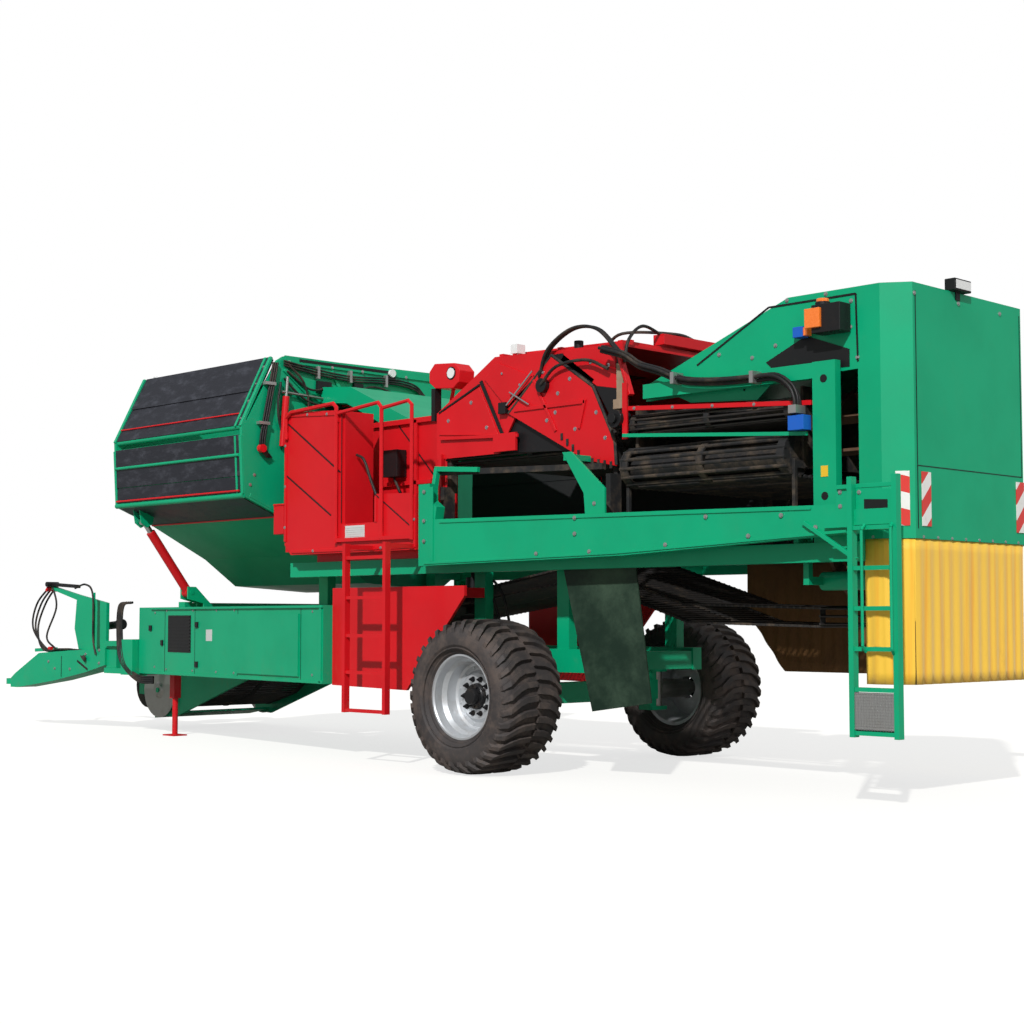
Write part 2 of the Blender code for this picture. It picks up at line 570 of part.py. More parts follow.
def makeBunker():
    addBody("bunker", (4.2, bunkerPivotY, bunkerPivotZ))
    belly = [(1.70, 3.11), (1.66, 2.50), (1.23, 2.33), (0.52, 1.97), (0.11, 1.68), (-0.90, 1.62), (-1.40, 1.95), (-1.40, 3.78)]
    trough = plate("YZ", offsetStrip(belly[::-1], bunkerWall), bunkerRear + 0.001, bunkerFront - 0.001)
    end = [*belly[::-1], (1.705, 3.22), (1.64, 3.26), (1.28, 3.88), (1.20, 3.93), (-0.80, 3.96)]
    ends = [plate("YZ", end, x, x + 0.04) for x in (bunkerRear, bunkerFront - 0.04)]
    ear = [(1.41, 2.42), (1.60, 2.50), (1.57, 2.33), (1.50, 2.28), (1.43, 2.32)]
    ears = [plate("YZ", ear, x, x + 0.015) for x in (ramX - 0.065, ramX + 0.05)]
    knees = [rod((x, kneeY, kneeZ), (x + 0.08, kneeY, kneeZ), 0.02, 24) for x in (bunkerRear + 0.02, bunkerFront - 0.10)]
    pins = [rod((bunkerRear - 0.07, bunkerPivotY, bunkerPivotZ), (bunkerRear + 0.03, bunkerPivotY, bunkerPivotZ), pinRadius, 24),
            rod((bunkerFront - 0.03, bunkerPivotY, bunkerPivotZ), (bunkerFront + 0.13, bunkerPivotY, bunkerPivotZ), pinRadius, 24)]
    bosses = [block((x, bunkerPivotY - 0.15, bunkerPivotZ - 0.06), (x + 0.04, bunkerPivotY + 0.10, bunkerPivotZ + 0.30))
              for x in (bunkerRear + 0.0005, bunkerFront - 0.0405)]
    node("bunker", green, [trough, *ends, *bosses, *pins, *ears, *knees], [], "bunker")
    addBody("bunker_end", (4.2, kneeY, kneeZ), "bunker")
    low, high = Vector((kneeY, kneeZ)), Vector((1.31, 3.90))
    slope = (high - low).normalized()
    low = low - slope * 0.04
    out = Vector((slope.y, -slope.x))
    slab = [tuple(low - out * 0.03), tuple(low + out * 0.045), tuple(high + out * 0.045), tuple(high - out * 0.03)]
    holes = [rod((x, kneeY, kneeZ), (x + 0.2, kneeY, kneeZ), 0.0208, 24) for x in (bunkerRear - 0.04, bunkerFront - 0.16)]
    node("bunker_end", black, [plate("YZ", slab, bunkerRear + 0.045, bunkerFront - 0.045)], holes, "bunker_end")


def cylinder(name, foot, head, width, barrelLength, rodStart, axis):
    """A hydraulic cylinder between two pins: a barrel on its foot pin, and a rod that slides in it."""
    foot, head = Vector(foot), Vector(head)
    along = (head - foot).normalized()
    span = (head - foot).length
    addBody(name, foot)
    addBody(name + "_rod", foot, name)
    eye = width / 2
    bore = rodRadius + 0.0008
    half = Vector(axis) * eye
    barrel = [rod(foot - half, foot + half, 0.055, 24), rod(foot + along * 0.03, foot + along * barrelLength, barrelRadius, 24)]
    cuts = [rod(foot - half * 2, foot + half * 2, 0.0258, 24), rod(foot + along * 0.10, foot + along * (barrelLength + 0.1), bore, 24)]
    node(name, red, barrel, cuts, name)
    piston = [rod(foot + along * rodStart, foot + along * (span - 0.02), rodRadius, 24), rod(head - half, head + half, 0.045, 24)]
    hole = [rod(head - half * 2, head + half * 2, 0.026, 24)]
    node(name + "_rod", steel, piston, hole, name + "_rod")


def makeCylinders():
    cylinder("lift_cylinder", (ramX, *liftFoot), (ramX, *liftHead), 0.09, 0.80, 0.12, (1, 0, 0))
    cylinder("steer_cylinder", (*steerFoot, steerZ), (*steerHead, steerZ), 0.06, 0.95, 0.24, (0, 0, 1))


def makeDrawbar():
    addBody("drawbar", (drawbarPivotX, drawbarY, 0.88))
    box = [(9.02, 0.47), (9.02, 0.58), (8.92, 0.64), (8.34, 0.90), (7.60, 0.94), (6.98, 0.96), (6.83, 0.98), (6.83, 0.78),
           (7.25, 0.69), (8.00, 0.57), (8.85, 0.47)]
    pieces = [plate("XZ", box, drawbarY - 0.13, drawbarY + 0.13)]
    pieces.append(block((drawbarPivotX - 0.09, drawbarY - 0.1, 0.7504), (6.86, drawbarY + 0.1, 0.9996)))
    pieces.append(block((8.95, drawbarY - 0.045, 0.505), (eyeX - 0.07, drawbarY + 0.045, 0.565)))
    pieces.append(rod((eyeX - 0.09, drawbarY, 0.50), (eyeX - 0.09, drawbarY, 0.57), 0.09, 24))
    cuts = [rod((eyeX - 0.09, drawbarY, 0.4), (eyeX - 0.09, drawbarY, 0.7), 0.028, 16),
            rod((drawbarPivotX, drawbarY, 0.6), (drawbarPivotX, drawbarY, 1.2), pinRadius + 0.0008, 24)]
    tower = [(6.99, 0.92), (7.58, 0.90), (7.70, 1.20), (7.66, 1.54), (8.28, 1.68), (8.28, 1.72), (7.62, 1.60), (6.99, 1.50)]
    pieces.append(plate("XZ", tower, drawbarY - 0.02, drawbarY + 0.02))
    for low in (steerZ - 0.06, steerZ + 0.04):
        pieces.append(block((steerHead[0] - 0.07, steerHead[1] - 0.06, low), (steerHead[0] + 0.07, drawbarY - 0.12, low + 0.02)))
    node("drawbar", green, pieces, cuts, "drawbar")


def makeDigger():
    addBody("digger", (digJointX, -0.78, digJointZ))
    side = [(4.05, 1.08), (4.05, 1.38), (4.3, 1.40), (6.4, 0.80), (7.20, 0.66), (7.62, 0.62), (7.62, 0.40), (7.2, 0.38), (7.15, 0.16),
            (6.85, 0.14), (5.4, 0.62), (4.40, 0.86), (4.28, 0.86)]
    centre = (digLeft + digRight) / 2
    pieces = [plate("XZ", side, y, y + 0.03) for y in (digRight, digLeft - 0.03)]
    for x, z in ((4.75, 0.90), (6.30, 0.72)):
        pieces.append(rod((x, digRight + 0.01, z), (x, digLeft - 0.01, z), 0.04, 12))
    pieces.append(beam((6.88, centre, 0.20), (7.30, centre, 0.13), digLeft - digRight - 0.04, 0.025))
    for y in (digRight, digLeft):
        pieces.append(rod((digJointX, y - 0.10, digJointZ), (digJointX, y + 0.10, digJointZ), pinRadius, 24))
        pieces.append(rod((discX, y - 0.085, tillZ), (discX, y + 0.085, tillZ), pinRadius, 24))
    pieces.append(rod((rollerX, digRight + 0.01, 0.50), (rollerX, digLeft - 0.01, 0.50), pinRadius, 24))
    node("digger_frame", green, pieces, body="digger")
    web = [(3.96, 1.32), (5.9, 0.80), (6.84, 0.34), (6.84, 0.25), (6.3, 0.40), (5.9, 0.66), (3.96, 1.18)]
    shaftSpace = [rod((x, -2, z), (x, 1, z), 0.045, 12) for x, z in ((4.75, 0.90), (6.30, 0.72))]
    node("digger_web", black, [plate("XZ", web, digRight + 0.03 + fit, digLeft - 0.03 - fit)], shaftSpace, "digger")
    bore = pinRadius + 0.0008
    for name, side in (("left", 1), ("right", -1)):
        y = (digLeft if side > 0 else digRight) + side * 0.045
        addBody(name + "_disc", (discX, y, tillZ), "digger")
        # radius, level: a dished disc on its hub
        disc = [(discRadius, 0.0), (discRadius, 0.006), (0.10, 0.012), (0.07, 0.03), (bore, 0.03), (bore, -0.03), (0.07, -0.03), (0.10, 0.004)]
        node(name + "_disc", steel, [turned(disc, (discX, y, tillZ), sides=32)], body=name + "_disc")
        y = centre + side * 0.335
        addBody(name + "_ridge_roller", (rollerX, y, 0.50), "digger")
        waist = [(0.27, -0.32), (0.27, -0.28), (0.16, -0.08), (0.16, 0.08), (0.27, 0.28), (0.27, 0.32), (bore, 0.32), (bore, -0.32)]
        node(name + "_ridge_roller", black, [turned(waist, (rollerX, y, 0.50), sides=24)], body=name + "_ridge_roller")


def makeSkirts():
    # flap behind the left wheel; sheet that closes the right side above the frame; fender sheets with their arms
    flap = [(-0.66, chordLow - fit), (-1.46, chordLow - fit), (-1.62, 0.64), (-0.98, 0.55)]
    node("left_flap", rubber, [plate("XZ", flap, 1.075, 1.087)])
    wall = [(-2.99, 1.95 + fit), (2.88, 1.95 + fit), (2.88, 2.74), (-2.99, 2.74)]
    node("right_skirt", rubber, [plate("XZ", wall, -1.206, -1.196)])
    for name, side in (("left", 1), ("right", -1)):
        low, high = sorted((side * 1.30, side * 1.33))
        fender = [(2.12 - fit, 0.69), (1.06, 0.67), (0.30, 1.51), (0.30, 1.60), (2.12 - fit, 1.60)]
        low2, high2 = sorted((side * (railY + 0.05 + fit), side * 1.31))
        arm = block((0.63, low2, 1.50), (0.75, high2, 1.59))
        node(name + "_fender", red, [plate("XZ", fender, low, high), arm])


def makeJack():
    clamp = [block((jackX - 0.045, jackY - 0.045, 0.42), (jackX + 0.045, jackY + 0.045, 1.16)),
             block((jackX - 0.04, jackY, railLow + 0.03), (jackX + 0.04, railY - railHalfWidth - fit, railHigh - 0.03)),
             rod((jackX, jackY, 0.01), (jackX, jackY, 0.5), 0.032, 16),
             block((jackX - 0.11, jackY - 0.09, 0), (jackX + 0.11, jackY + 0.09, 0.014)),
             rod((jackX, jackY, 1.08), (jackX, jackY - 0.14, 1.08), 0.012, 8)]
    node("parking_jack", red, clamp)


def makeRearPost():
    low, high = chordY - 0.03, chordY + 0.04
    post = [block((-3.44, low, chordHigh + fit), (-3.24, high, 3.19)),
            block((-3.43, low + 0.001, 3.07), (-1.60, high - 0.001, 3.185)),
            block((-3.42, cowlHalf + fit, 3.08), (-3.30, low + 0.02, 3.17))]
    node("valve_post", green, post)


makeWheels()
makeAxle()
makeFrame()
makeSideBeams()
makeCowl()
makeRing()
makeWebs()
makeHoods()
makePlatform()
makeLadders()
makeCabinet()
makeBunker()
makeDrawbar()
makeDigger()
makeCylinders()
makeSkirts()
makeJack()
makeRearPost()
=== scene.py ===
import math

import bmesh
import bpy
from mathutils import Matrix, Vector, noise


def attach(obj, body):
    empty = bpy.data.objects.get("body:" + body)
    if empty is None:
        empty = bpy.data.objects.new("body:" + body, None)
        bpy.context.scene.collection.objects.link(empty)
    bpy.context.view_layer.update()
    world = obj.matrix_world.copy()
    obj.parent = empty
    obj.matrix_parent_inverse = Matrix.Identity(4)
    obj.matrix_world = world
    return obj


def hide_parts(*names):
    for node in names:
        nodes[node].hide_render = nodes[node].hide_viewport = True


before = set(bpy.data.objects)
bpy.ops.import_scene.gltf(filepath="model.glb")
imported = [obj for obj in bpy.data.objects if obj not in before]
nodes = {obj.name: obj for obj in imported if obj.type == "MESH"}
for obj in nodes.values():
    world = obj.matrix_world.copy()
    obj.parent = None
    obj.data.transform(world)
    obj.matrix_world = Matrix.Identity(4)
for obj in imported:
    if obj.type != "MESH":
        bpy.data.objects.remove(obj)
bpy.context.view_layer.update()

axleX = -2.575  # the wheel axle in the row frame


def at(x, y, z):
    return Vector((x + axleX, y, z))


view = {"place": (-13.076, 11.427, 1.30), "heading": (0.711, -0.703), "pitch": 3.635, "lens": 59.77}


def makeStage():
    data = bpy.data.cameras.new("camera")
    camera = bpy.data.objects.new("camera", data)
    bpy.context.scene.collection.objects.link(camera)
    data.lens, data.sensor_width = view["lens"], 36
    data.clip_end = 300
    camera.location = view["place"]
    pitch = math.radians(view["pitch"])
    along = Vector((*view["heading"], 0)).normalized() * math.cos(pitch) + Vector((0, 0, math.sin(pitch)))
    camera.rotation_mode = "QUATERNION"
    camera.rotation_quaternion = along.to_track_quat("-Z", "Y")
    bpy.context.scene.camera = camera
    bpy.context.scene.view_settings.view_transform = "Standard"

    world = bpy.data.worlds.new("studio")
    bpy.context.scene.world = world
    world.use_nodes = True
    tree = world.node_tree
    seen = tree.nodes.new("ShaderNodeBackground")
    seen.inputs["Color"].default_value = (1, 1, 1, 1)
    seen.inputs["Strength"].default_value = 1.0
    light = tree.nodes["Background"]
    light.inputs["Color"].default_value = (0.95, 0.97, 1.0, 1)
    light.inputs["Strength"].default_value = 0.36
    mix = tree.nodes.new("ShaderNodeMixShader")
    path = tree.nodes.new("ShaderNodeLightPath")
    either = tree.nodes.new("ShaderNodeMath")
    either.operation = "MAXIMUM"
    tree.links.new(path.outputs["Is Camera Ray"], either.inputs[0])
    tree.links.new(path.outputs["Is Transmission Ray"], either.inputs[1])
    tree.links.new(either.outputs[0], mix.inputs[0])
    tree.links.new(light.outputs[0], mix.inputs[1])
    tree.links.new(seen.outputs[0], mix.inputs[2])
    tree.links.new(mix.outputs[0], tree.nodes["World Output"].inputs["Surface"])

    # sun: high on the left and a little behind the camera, as on an open yard
    suns = (("sun", (0.45, -0.75, -0.62), 3.1, 1.5), ("fill", (0.75, 0.25, -0.35), 0.3, 40))
    for name, towards, strength, spread in suns:
        lamp = bpy.data.objects.new(name, bpy.data.lights.new(name, "SUN"))
        bpy.context.scene.collection.objects.link(lamp)
        lamp.data.energy = strength
        lamp.data.angle = math.radians(spread)
        lamp.rotation_mode = "QUATERNION"
        lamp.rotation_quaternion = Vector(towards).to_track_quat("-Z", "Y")

    bm = bmesh.new()
    bmesh.ops.create_grid(bm, x_segments=1, y_segments=1, size=60)
    floor = bpy.data.objects.new("floor", bpy.data.meshes.new("floor"))
    bm.to_mesh(floor.data)
    bm.free()
    bpy.context.scene.collection.objects.link(floor)
    pale = bpy.data.materials.new("pale floor")
    pale.use_nodes = True
    tree = pale.node_tree
    matt = tree.nodes["Principled BSDF"]
    matt.inputs["Base Color"].default_value = (0.34, 0.33, 0.30, 1)
    matt.inputs["Roughness"].default_value = 0.9
    glow = tree.nodes.new("ShaderNodeEmission")
    glow.inputs["Strength"].default_value = 0.72
    path = tree.nodes.new("ShaderNodeLightPath")
    join = tree.nodes.new("ShaderNodeAddShader")
    shown = tree.nodes.new("ShaderNodeMixShader")
    tree.links.new(matt.outputs[0], join.inputs[0])
    tree.links.new(glow.outputs[0], join.inputs[1])
    tree.links.new(path.outputs["Is Camera Ray"], shown.inputs[0])
    tree.links.new(matt.outputs[0], shown.inputs[1])
    tree.links.new(join.outputs[0], shown.inputs[2])
    tree.links.new(shown.outputs[0], tree.nodes["Material Output"].inputs["Surface"])
    floor.data.materials.append(pale)


class Value:
    def __init__(self, finish, socket):
        self.finish = finish
        self.socket = socket

    def maths(self, operation, *values):
        return self.finish.add("ShaderNodeMath", {"operation": operation}, dict(enumerate(values)))

    def __add__(self, other):
        return self.maths("ADD", self, other)

    def __radd__(self, other):
        return self.maths("ADD", other, self)

    def __sub__(self, other):
        return self.maths("SUBTRACT", self, other)

    def __rsub__(self, other):
        return self.maths("SUBTRACT", other, self)

    def __mul__(self, other):
        return self.maths("MULTIPLY", self, other)

    def __rmul__(self, other):
        return self.maths("MULTIPLY", other, self)

    def __gt__(self, other):
        return self.maths("GREATER_THAN", self, other)

    def fraction(self):
        return self.maths("FRACT", self)


class Finish:
    def __init__(self, name, **plain):
        self.material = bpy.data.materials.new(name)
        self.material.use_nodes = True
        self.tree = self.material.node_tree
        self.shader = self.tree.nodes["Principled BSDF"]
        for key, value in plain.items():
            socket = self.shader.inputs[key.replace("_", " ").title().replace("Ior", "IOR")]
            socket.default_value = (*value, 1) if isinstance(value, tuple) else value

    def add(self, kind, settings, sockets, output=0):
        made = self.tree.nodes.new(kind)
        for key, value in settings.items():
            if key == "stops":
                ramp = made.color_ramp
                while len(ramp.elements) < len(value):
                    ramp.elements.new(0.5)
                for element, (place, colour) in zip(ramp.elements, value):
                    element.position, element.color = place, (*colour, 1)
            else:
                setattr(made, key, value)
        for key, value in sockets.items():
            if isinstance(value, Value):
                self.tree.links.new(value.socket, made.inputs[key])
            else:
                socket = made.inputs[key]
                colour = socket.type == "RGBA" and len(value) == 3
                socket.default_value = (*value, 1) if colour else value
        return Value(self, made.outputs[output])

    def place(self, channel=None):
        where = self.add("ShaderNodeTexCoord", {}, {}, 3)
        if channel is None:
            return where
        return self.add("ShaderNodeSeparateXYZ", {}, {0: where}, "XYZ".index(channel))

    def grain(self, scale, detail=4.0, rough=0.55, stretch=None):
        where = self.place()
        if stretch:
            where = self.add("ShaderNodeMapping", {}, {0: where, "Scale": stretch})
        return self.add("ShaderNodeTexNoise", {},
            {"Vector": where, "Scale": scale, "Detail": detail, "Roughness": rough})

    def step(self, value, low, high):
        return self.add("ShaderNodeMapRange", {"interpolation_type": "SMOOTHSTEP"},
            {0: value, 1: low, 2: high})

    def blend(self, factor, first, second):
        made = self.tree.nodes.new("ShaderNodeMix")
        made.data_type = "RGBA"
        for socket, value in ((made.inputs[0], factor), (made.inputs[6], first), (made.inputs[7], second)):
            if isinstance(value, Value):
                self.tree.links.new(value.socket, socket)
            else:
                socket.default_value = (*value, 1) if isinstance(value, tuple) else value
        return Value(self, made.outputs[2])

    def bump(self, height, strength, distance=0.002):
        normal = self.add("ShaderNodeBump", {},
            {"Strength": strength, "Distance": distance, "Height": height})
        self.put("Normal", normal)

    def put(self, socket, value):
        self.tree.links.new(value.socket, self.shader.inputs[socket])


dust = (0.23, 0.16, 0.10)


def paintFinish(name, colour, rough=0.36, coat=0.08, metal=0.0, dirt=0.36):
    f = Finish(name, coat_weight=coat, coat_roughness=0.15, metallic=metal, specular_ior_level=0.28)
    patches = f.step(f.grain(1.7, 5), 0.35, 0.75)
    dark = tuple(c * 0.80 for c in colour)
    tone = f.blend(patches * 0.55, colour, dark)
    height = f.place("Z")
    low = 1 - f.step(height, 0.35, 1.25)
    specks = f.step(f.grain(9, 9, 0.72), 0.52, 0.72)
    film = f.step(f.grain(2.4, 6, 0.65, (1, 1, 0.35)), 0.50, 0.80)
    dirty = (specks * 0.5 + film * 0.45) * (low * 0.9 + 0.13) * dirt
    f.put("Base Color", f.blend(dirty, tone, dust))
    f.put("Roughness", rough + dirty * 0.5 + patches * 0.08)
    f.bump(f.grain(90, 2), 0.06, 0.001)
    return f.material


def metalFinish(name, colour, rough, metal=1.0, brushed=(1, 1, 1), dirt=0.3):
    f = Finish(name, metallic=metal)
    streaks = f.grain(28, 5, 0.6, brushed)
    dirty = f.step(f.grain(6, 8, 0.7), 0.50, 0.75) * dirt
    tone = f.blend(streaks * 0.5, colour, tuple(c * 0.72 for c in colour))
    f.put("Base Color", f.blend(dirty, tone, dust))
    f.put("Roughness", rough + streaks * 0.12 + dirty * 0.4)
    f.bump(streaks, 0.12, 0.001)
    return f.material


def rubberFinish(name, colour, rough=0.72, soil=0.4, tone2=None, scale=6):
    f = Finish(name, specular_ior_level=0.35)
    patches = f.step(f.grain(scale, 7, 0.68), 0.42, 0.72)
    f.put("Base Color", f.blend(patches * soil, colour, tone2 or dust))
    f.put("Roughness", rough + patches * 0.18)
    f.bump(f.grain(70, 5), 0.25, 0.002)
    return f.material


def clothFinish():
    f = Finish("yellow curtain cloth", sheen_weight=0.25, sheen_roughness=0.5)
    uv = f.add("ShaderNodeUVMap", {"uv_map": "cloth"}, {})
    across = f.add("ShaderNodeSeparateXYZ", {}, {0: uv}, 0)
    down = f.add("ShaderNodeSeparateXYZ", {}, {0: uv}, 1)
    streakPlace = f.add("ShaderNodeMapping", {}, {0: uv, "Scale": (16, 0.5, 1)})
    streaks = f.add("ShaderNodeTexNoise", {}, {"Vector": streakPlace, "Scale": 1.0, "Detail": 4.0})
    streaks = f.step(streaks, 0.44, 0.74)
    tone = f.blend(streaks * 0.75, (0.93, 0.56, 0.045), (0.86, 0.36, 0.015))
    stain = f.step(f.grain(2.2, 7, 0.7), 0.52, 0.80) * f.step(down, 0.45, 1.05)
    f.put("Base Color", f.blend(stain * 0.55, tone, (0.50, 0.27, 0.06)))
    f.put("Roughness", 0.62 + streaks * 0.15)
    weave = ((across * 420).maths("SINE", across * 1500) + (down * 1).maths("SINE", down * 1500)) * 0.25 + 0.5
    f.bump(weave * 0.3 + f.grain(14, 4) * 0.7, 0.25, 0.002)
    return f.material


def stripeFinish():
    f = Finish("warning stripes", coat_weight=0.6, coat_roughness=0.08)
    level = f.place("Z") + f.place("Y") - f.place("X")
    band = (level * 4.2).fraction() > 0.5
    cells = f.add("ShaderNodeTexVoronoi", {}, {"Vector": f.place(), "Scale": 130.0})
    tone = f.blend(band, (0.85, 0.84, 0.80), (0.72, 0.03, 0.02))
    f.put("Base Color", f.blend(f.step(f.grain(11, 6), 0.55, 0.8) * 0.25, tone, dust))
    f.put("Roughness", 0.28 + cells * 0.15)
    f.bump(cells, 0.10, 0.001)
    return f.material


def beltFinish():
    f = Finish("bunker belt", specular_ior_level=0.55)
    # blue-grey patches on the black belt: scuffs, and a painted sheen
    scuffs_and_sheen = f.step(f.grain(5, 8, 0.72, (1, 1, 2.5)), 0.46, 0.74)
    f.put("Base Color", f.blend(scuffs_and_sheen * 0.6, (0.010, 0.011, 0.018), (0.075, 0.08, 0.10)))
    f.put("Roughness", 0.42 + scuffs_and_sheen * 0.3)
    f.bump(f.grain(60, 5), 0.25, 0.002)
    return f.material


def tyreFinish():
    f = Finish("tyre rubber", specular_ior_level=0.4)
    soil = f.step(f.grain(5, 9, 0.74), 0.40, 0.68)
    bloom = f.step(f.grain(1.6, 4), 0.35, 0.7)
    tone = f.blend(bloom * 0.6, (0.036, 0.031, 0.031), (0.075, 0.066, 0.063))
    f.put("Base Color", f.blend(soil * 0.55, tone, (0.15, 0.11, 0.09)))
    f.put("Roughness", 0.68 + soil * 0.2)
    f.bump(f.grain(85, 6), 0.35, 0.002)
    return f.material


def lampFinish(name, colour, rough=0.12, glow=0.0):
    f = Finish(name, coat_weight=1.0, coat_roughness=0.05)
    prisms = f.add("ShaderNodeTexVoronoi", {}, {"Vector": f.place(), "Scale": 60.0})
    f.put("Base Color", f.blend(prisms * 0.5, colour, tuple(min(1, c * 1.5 + 0.04) for c in colour)))
    f.put("Roughness", rough + prisms * 0.1)
    f.bump(prisms, 0.2, 0.002)
    if glow:
        f.shader.inputs["Emission Color"].default_value = (*colour, 1)
        f.shader.inputs["Emission Strength"].default_value = glow
    return f.material


finishes = {}


def makeFinishes():
    finishes.update({"green": paintFinish("green paint", (0.0012, 0.385, 0.18)),
        "red": paintFinish("red paint", (0.66, 0.008, 0.014)),
        "silver": metalFinish("rim silver", (0.6, 0.62, 0.64), 0.36, 0.55, dirt=0.35),
        "steel": metalFinish("worn steel", (0.42, 0.41, 0.39), 0.34, 0.9, (1, 6, 1)),
        "chrome": metalFinish("rod chrome", (0.72, 0.73, 0.74), 0.1, 1.0, dirt=0.1),
        "bars": metalFinish("web bars", (0.055, 0.05, 0.048), 0.42, 0.55, (1, 8, 1), 0.55),
        "rubber": rubberFinish("black rubber", (0.018, 0.018, 0.019)),
        "hose": rubberFinish("hose rubber", (0.012, 0.012, 0.013), 0.5, 0.25),
        "flap": rubberFinish("flap rubber", (0.006, 0.022, 0.012), 0.6, 0.55, (0.07, 0.12, 0.075), 1.6),
        # near-black finish for the walls that close the machine's inside: painted shade of its deep interior
        "shade_sheet": rubberFinish("side panel in painted shade", (0.012, 0.013, 0.014), 0.72, 0.35, (0.035, 0.032, 0.03), 1.4),
        # the ring elevator drum in dark brown with lighter patches
        "brown": rubberFinish("dark brown drum", (0.11, 0.055, 0.03), 0.7, 0.6, (0.2, 0.13, 0.08), 5),
        "soil": rubberFinish("soiled plate", (0.3, 0.21, 0.14), 0.75, 0.6, (0.42, 0.32, 0.22), 9),
        "tyre": tyreFinish(), "belt": beltFinish(), "cloth": clothFinish(),
        # the curtain's inner face: the yellow cloth darkened to brown as painted shade, with soil patches
        "shaded_back": rubberFinish("cloth back in painted shade and soil", (0.16, 0.075, 0.022), 0.7, 0.6, (0.1, 0.05, 0.025), 3),
        "stripes": stripeFinish(), "amber": lampFinish("amber lens", (0.8, 0.16, 0.01), 0.12, 0.15),
        "white": lampFinish("white lens", (0.78, 0.78, 0.76)),
        "redLens": lampFinish("red lens", (0.55, 0.01, 0.01)),
        "blue": paintFinish("blue moulding", (0.012, 0.12, 0.55), 0.4, 0.2),
        "black": paintFinish("black moulding", (0.01, 0.01, 0.011), 0.45, 0.1),
        "yellow": paintFinish("yellow plate", (0.85, 0.52, 0.03), 0.4, 0.2),
        "pale": paintFinish("pale plate", (0.62, 0.64, 0.62), 0.4, 0.1),
        "grey": metalFinish("zinc clamp", (0.5, 0.5, 0.49), 0.42, 0.85)})


# each of these adds one closed shape to a bmesh
def newBox(bm, low, high):
    low, high = Vector(low), Vector(high)
    made = bmesh.ops.create_cube(bm, size=1.0)["verts"]
    bmesh.ops.scale(bm, vec=high - low, verts=made)
    bmesh.ops.translate(bm, vec=(low + high) / 2, verts=made)


def newRod(bm, start, end, radius, sides=12):
    start, end = Vector(start), Vector(end)
    made = bmesh.ops.create_cone(bm, cap_ends=True, segments=sides, radius1=radius, radius2=radius,
                                 depth=(end - start).length)["verts"]
    bmesh.ops.rotate(bm, cent=(0, 0, 0), matrix=(end - start).to_track_quat("Z", "Y").to_matrix(),
        verts=made)
    bmesh.ops.translate(bm, vec=(start + end) / 2, verts=made)


def newBar(bm, start, end, width, tall):
    # a square bar from one point to another: width is across it, tall is up
    start, end = Vector(start), Vector(end)
    made = bmesh.ops.create_cube(bm, size=1.0)["verts"]
    bmesh.ops.scale(bm, vec=((end - start).length, width, tall), verts=made)
    bmesh.ops.rotate(bm, cent=(0, 0, 0), matrix=(end - start).to_track_quat("X", "Z").to_matrix(),
        verts=made)
    bmesh.ops.translate(bm, vec=(start + end) / 2, verts=made)


frames = {"XZ": lambda u, v, w: at(u, w, v), "YZ": lambda u, v, w: at(w, u, v),
    "XY": lambda u, v, w: at(u, v, w)}


# a flat outline in the axle frame, as thick as the two levels that it lies between
def newPlate(bm, plane, outline, low, high):
    to = frames[plane]
    base = [bm.verts.new(to(u, v, low)) for u, v in outline]
    face = bm.faces.new(base)
    out = bmesh.ops.extrude_face_region(bm, geom=[face])
    moved = [v for v in out["geom"] if isinstance(v, bmesh.types.BMVert)]
    bmesh.ops.translate(bm, vec=to(0, 0, high) - to(0, 0, low), verts=moved)


# a (radius, level) profile spun round an axis through a centre
def newSpin(bm, profile, centre, axis="Y", steps=48, closed=True):
    leads = {"Y": lambda r, s: Vector((r, s, 0)), "X": lambda r, s: Vector((s, r, 0)),
        "Z": lambda r, s: Vector((r, 0, s))}
    points = [bm.verts.new(Vector(centre) + leads[axis](r, s)) for r, s in profile]
    pairs = zip(points, points[1:] + points[:1]) if closed else zip(points, points[1:])
    edges = [bm.edges.new(pair) for pair in pairs]
    turn = {"X": (1, 0, 0), "Y": (0, 1, 0), "Z": (0, 0, 1)}[axis]
    bmesh.ops.spin(bm, geom=points + edges, cent=centre, axis=turn, angle=math.tau, steps=steps,
        use_merge=True)


def finishPiece(bm, name, body, look, smooth=35, bevel=0.0, replaces=()):
    bmesh.ops.remove_doubles(bm, verts=bm.verts, dist=0.00005)
    bmesh.ops.recalc_face_normals(bm, faces=bm.faces)
    mesh = bpy.data.meshes.new(name)
    bm.to_mesh(mesh)
    bm.free()
    piece = bpy.data.objects.new(name, mesh)
    bpy.context.scene.collection.objects.link(piece)
    mesh.materials.append(finishes[look])
    for face in mesh.polygons:
        face.use_smooth = True
    mesh.set_sharp_from_angle(angle=math.radians(smooth))
    if bevel:
        edge = piece.modifiers.new("edge", "BEVEL")
        edge.width, edge.segments, edge.limit_method = bevel, 2, "ANGLE"
        edge.angle_limit = math.radians(40)
        edge.harden_normals = True
    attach(piece, body)
    if replaces:
        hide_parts(*replaces)
    return piece


def hosePiece(name, runs, radius, body):
    # several hoses as one piece: each run is a smooth line through its points, in the axle frame
    curve = bpy.data.curves.new(name, "CURVE")
    curve.dimensions = "3D"
    curve.bevel_depth = radius
    curve.bevel_resolution = 2
    curve.use_fill_caps = True
    for run in runs:
        points = smoothLine([at(*p) for p in run])
        line = curve.splines.new("POLY")
        line.points.add(len(points) - 1)
        for point, co in zip(line.points, points):
            point.co = (*co, 1)
    piece = bpy.data.objects.new(name, curve)
    bpy.context.scene.collection.objects.link(piece)
    mesh = bpy.data.meshes.new_from_object(piece.evaluated_get(bpy.context.evaluated_depsgraph_get()))
    bpy.data.objects.remove(piece)
    bm = bmesh.new()
    bm.from_mesh(mesh)
    return finishPiece(bm, name, body, "hose", 60)


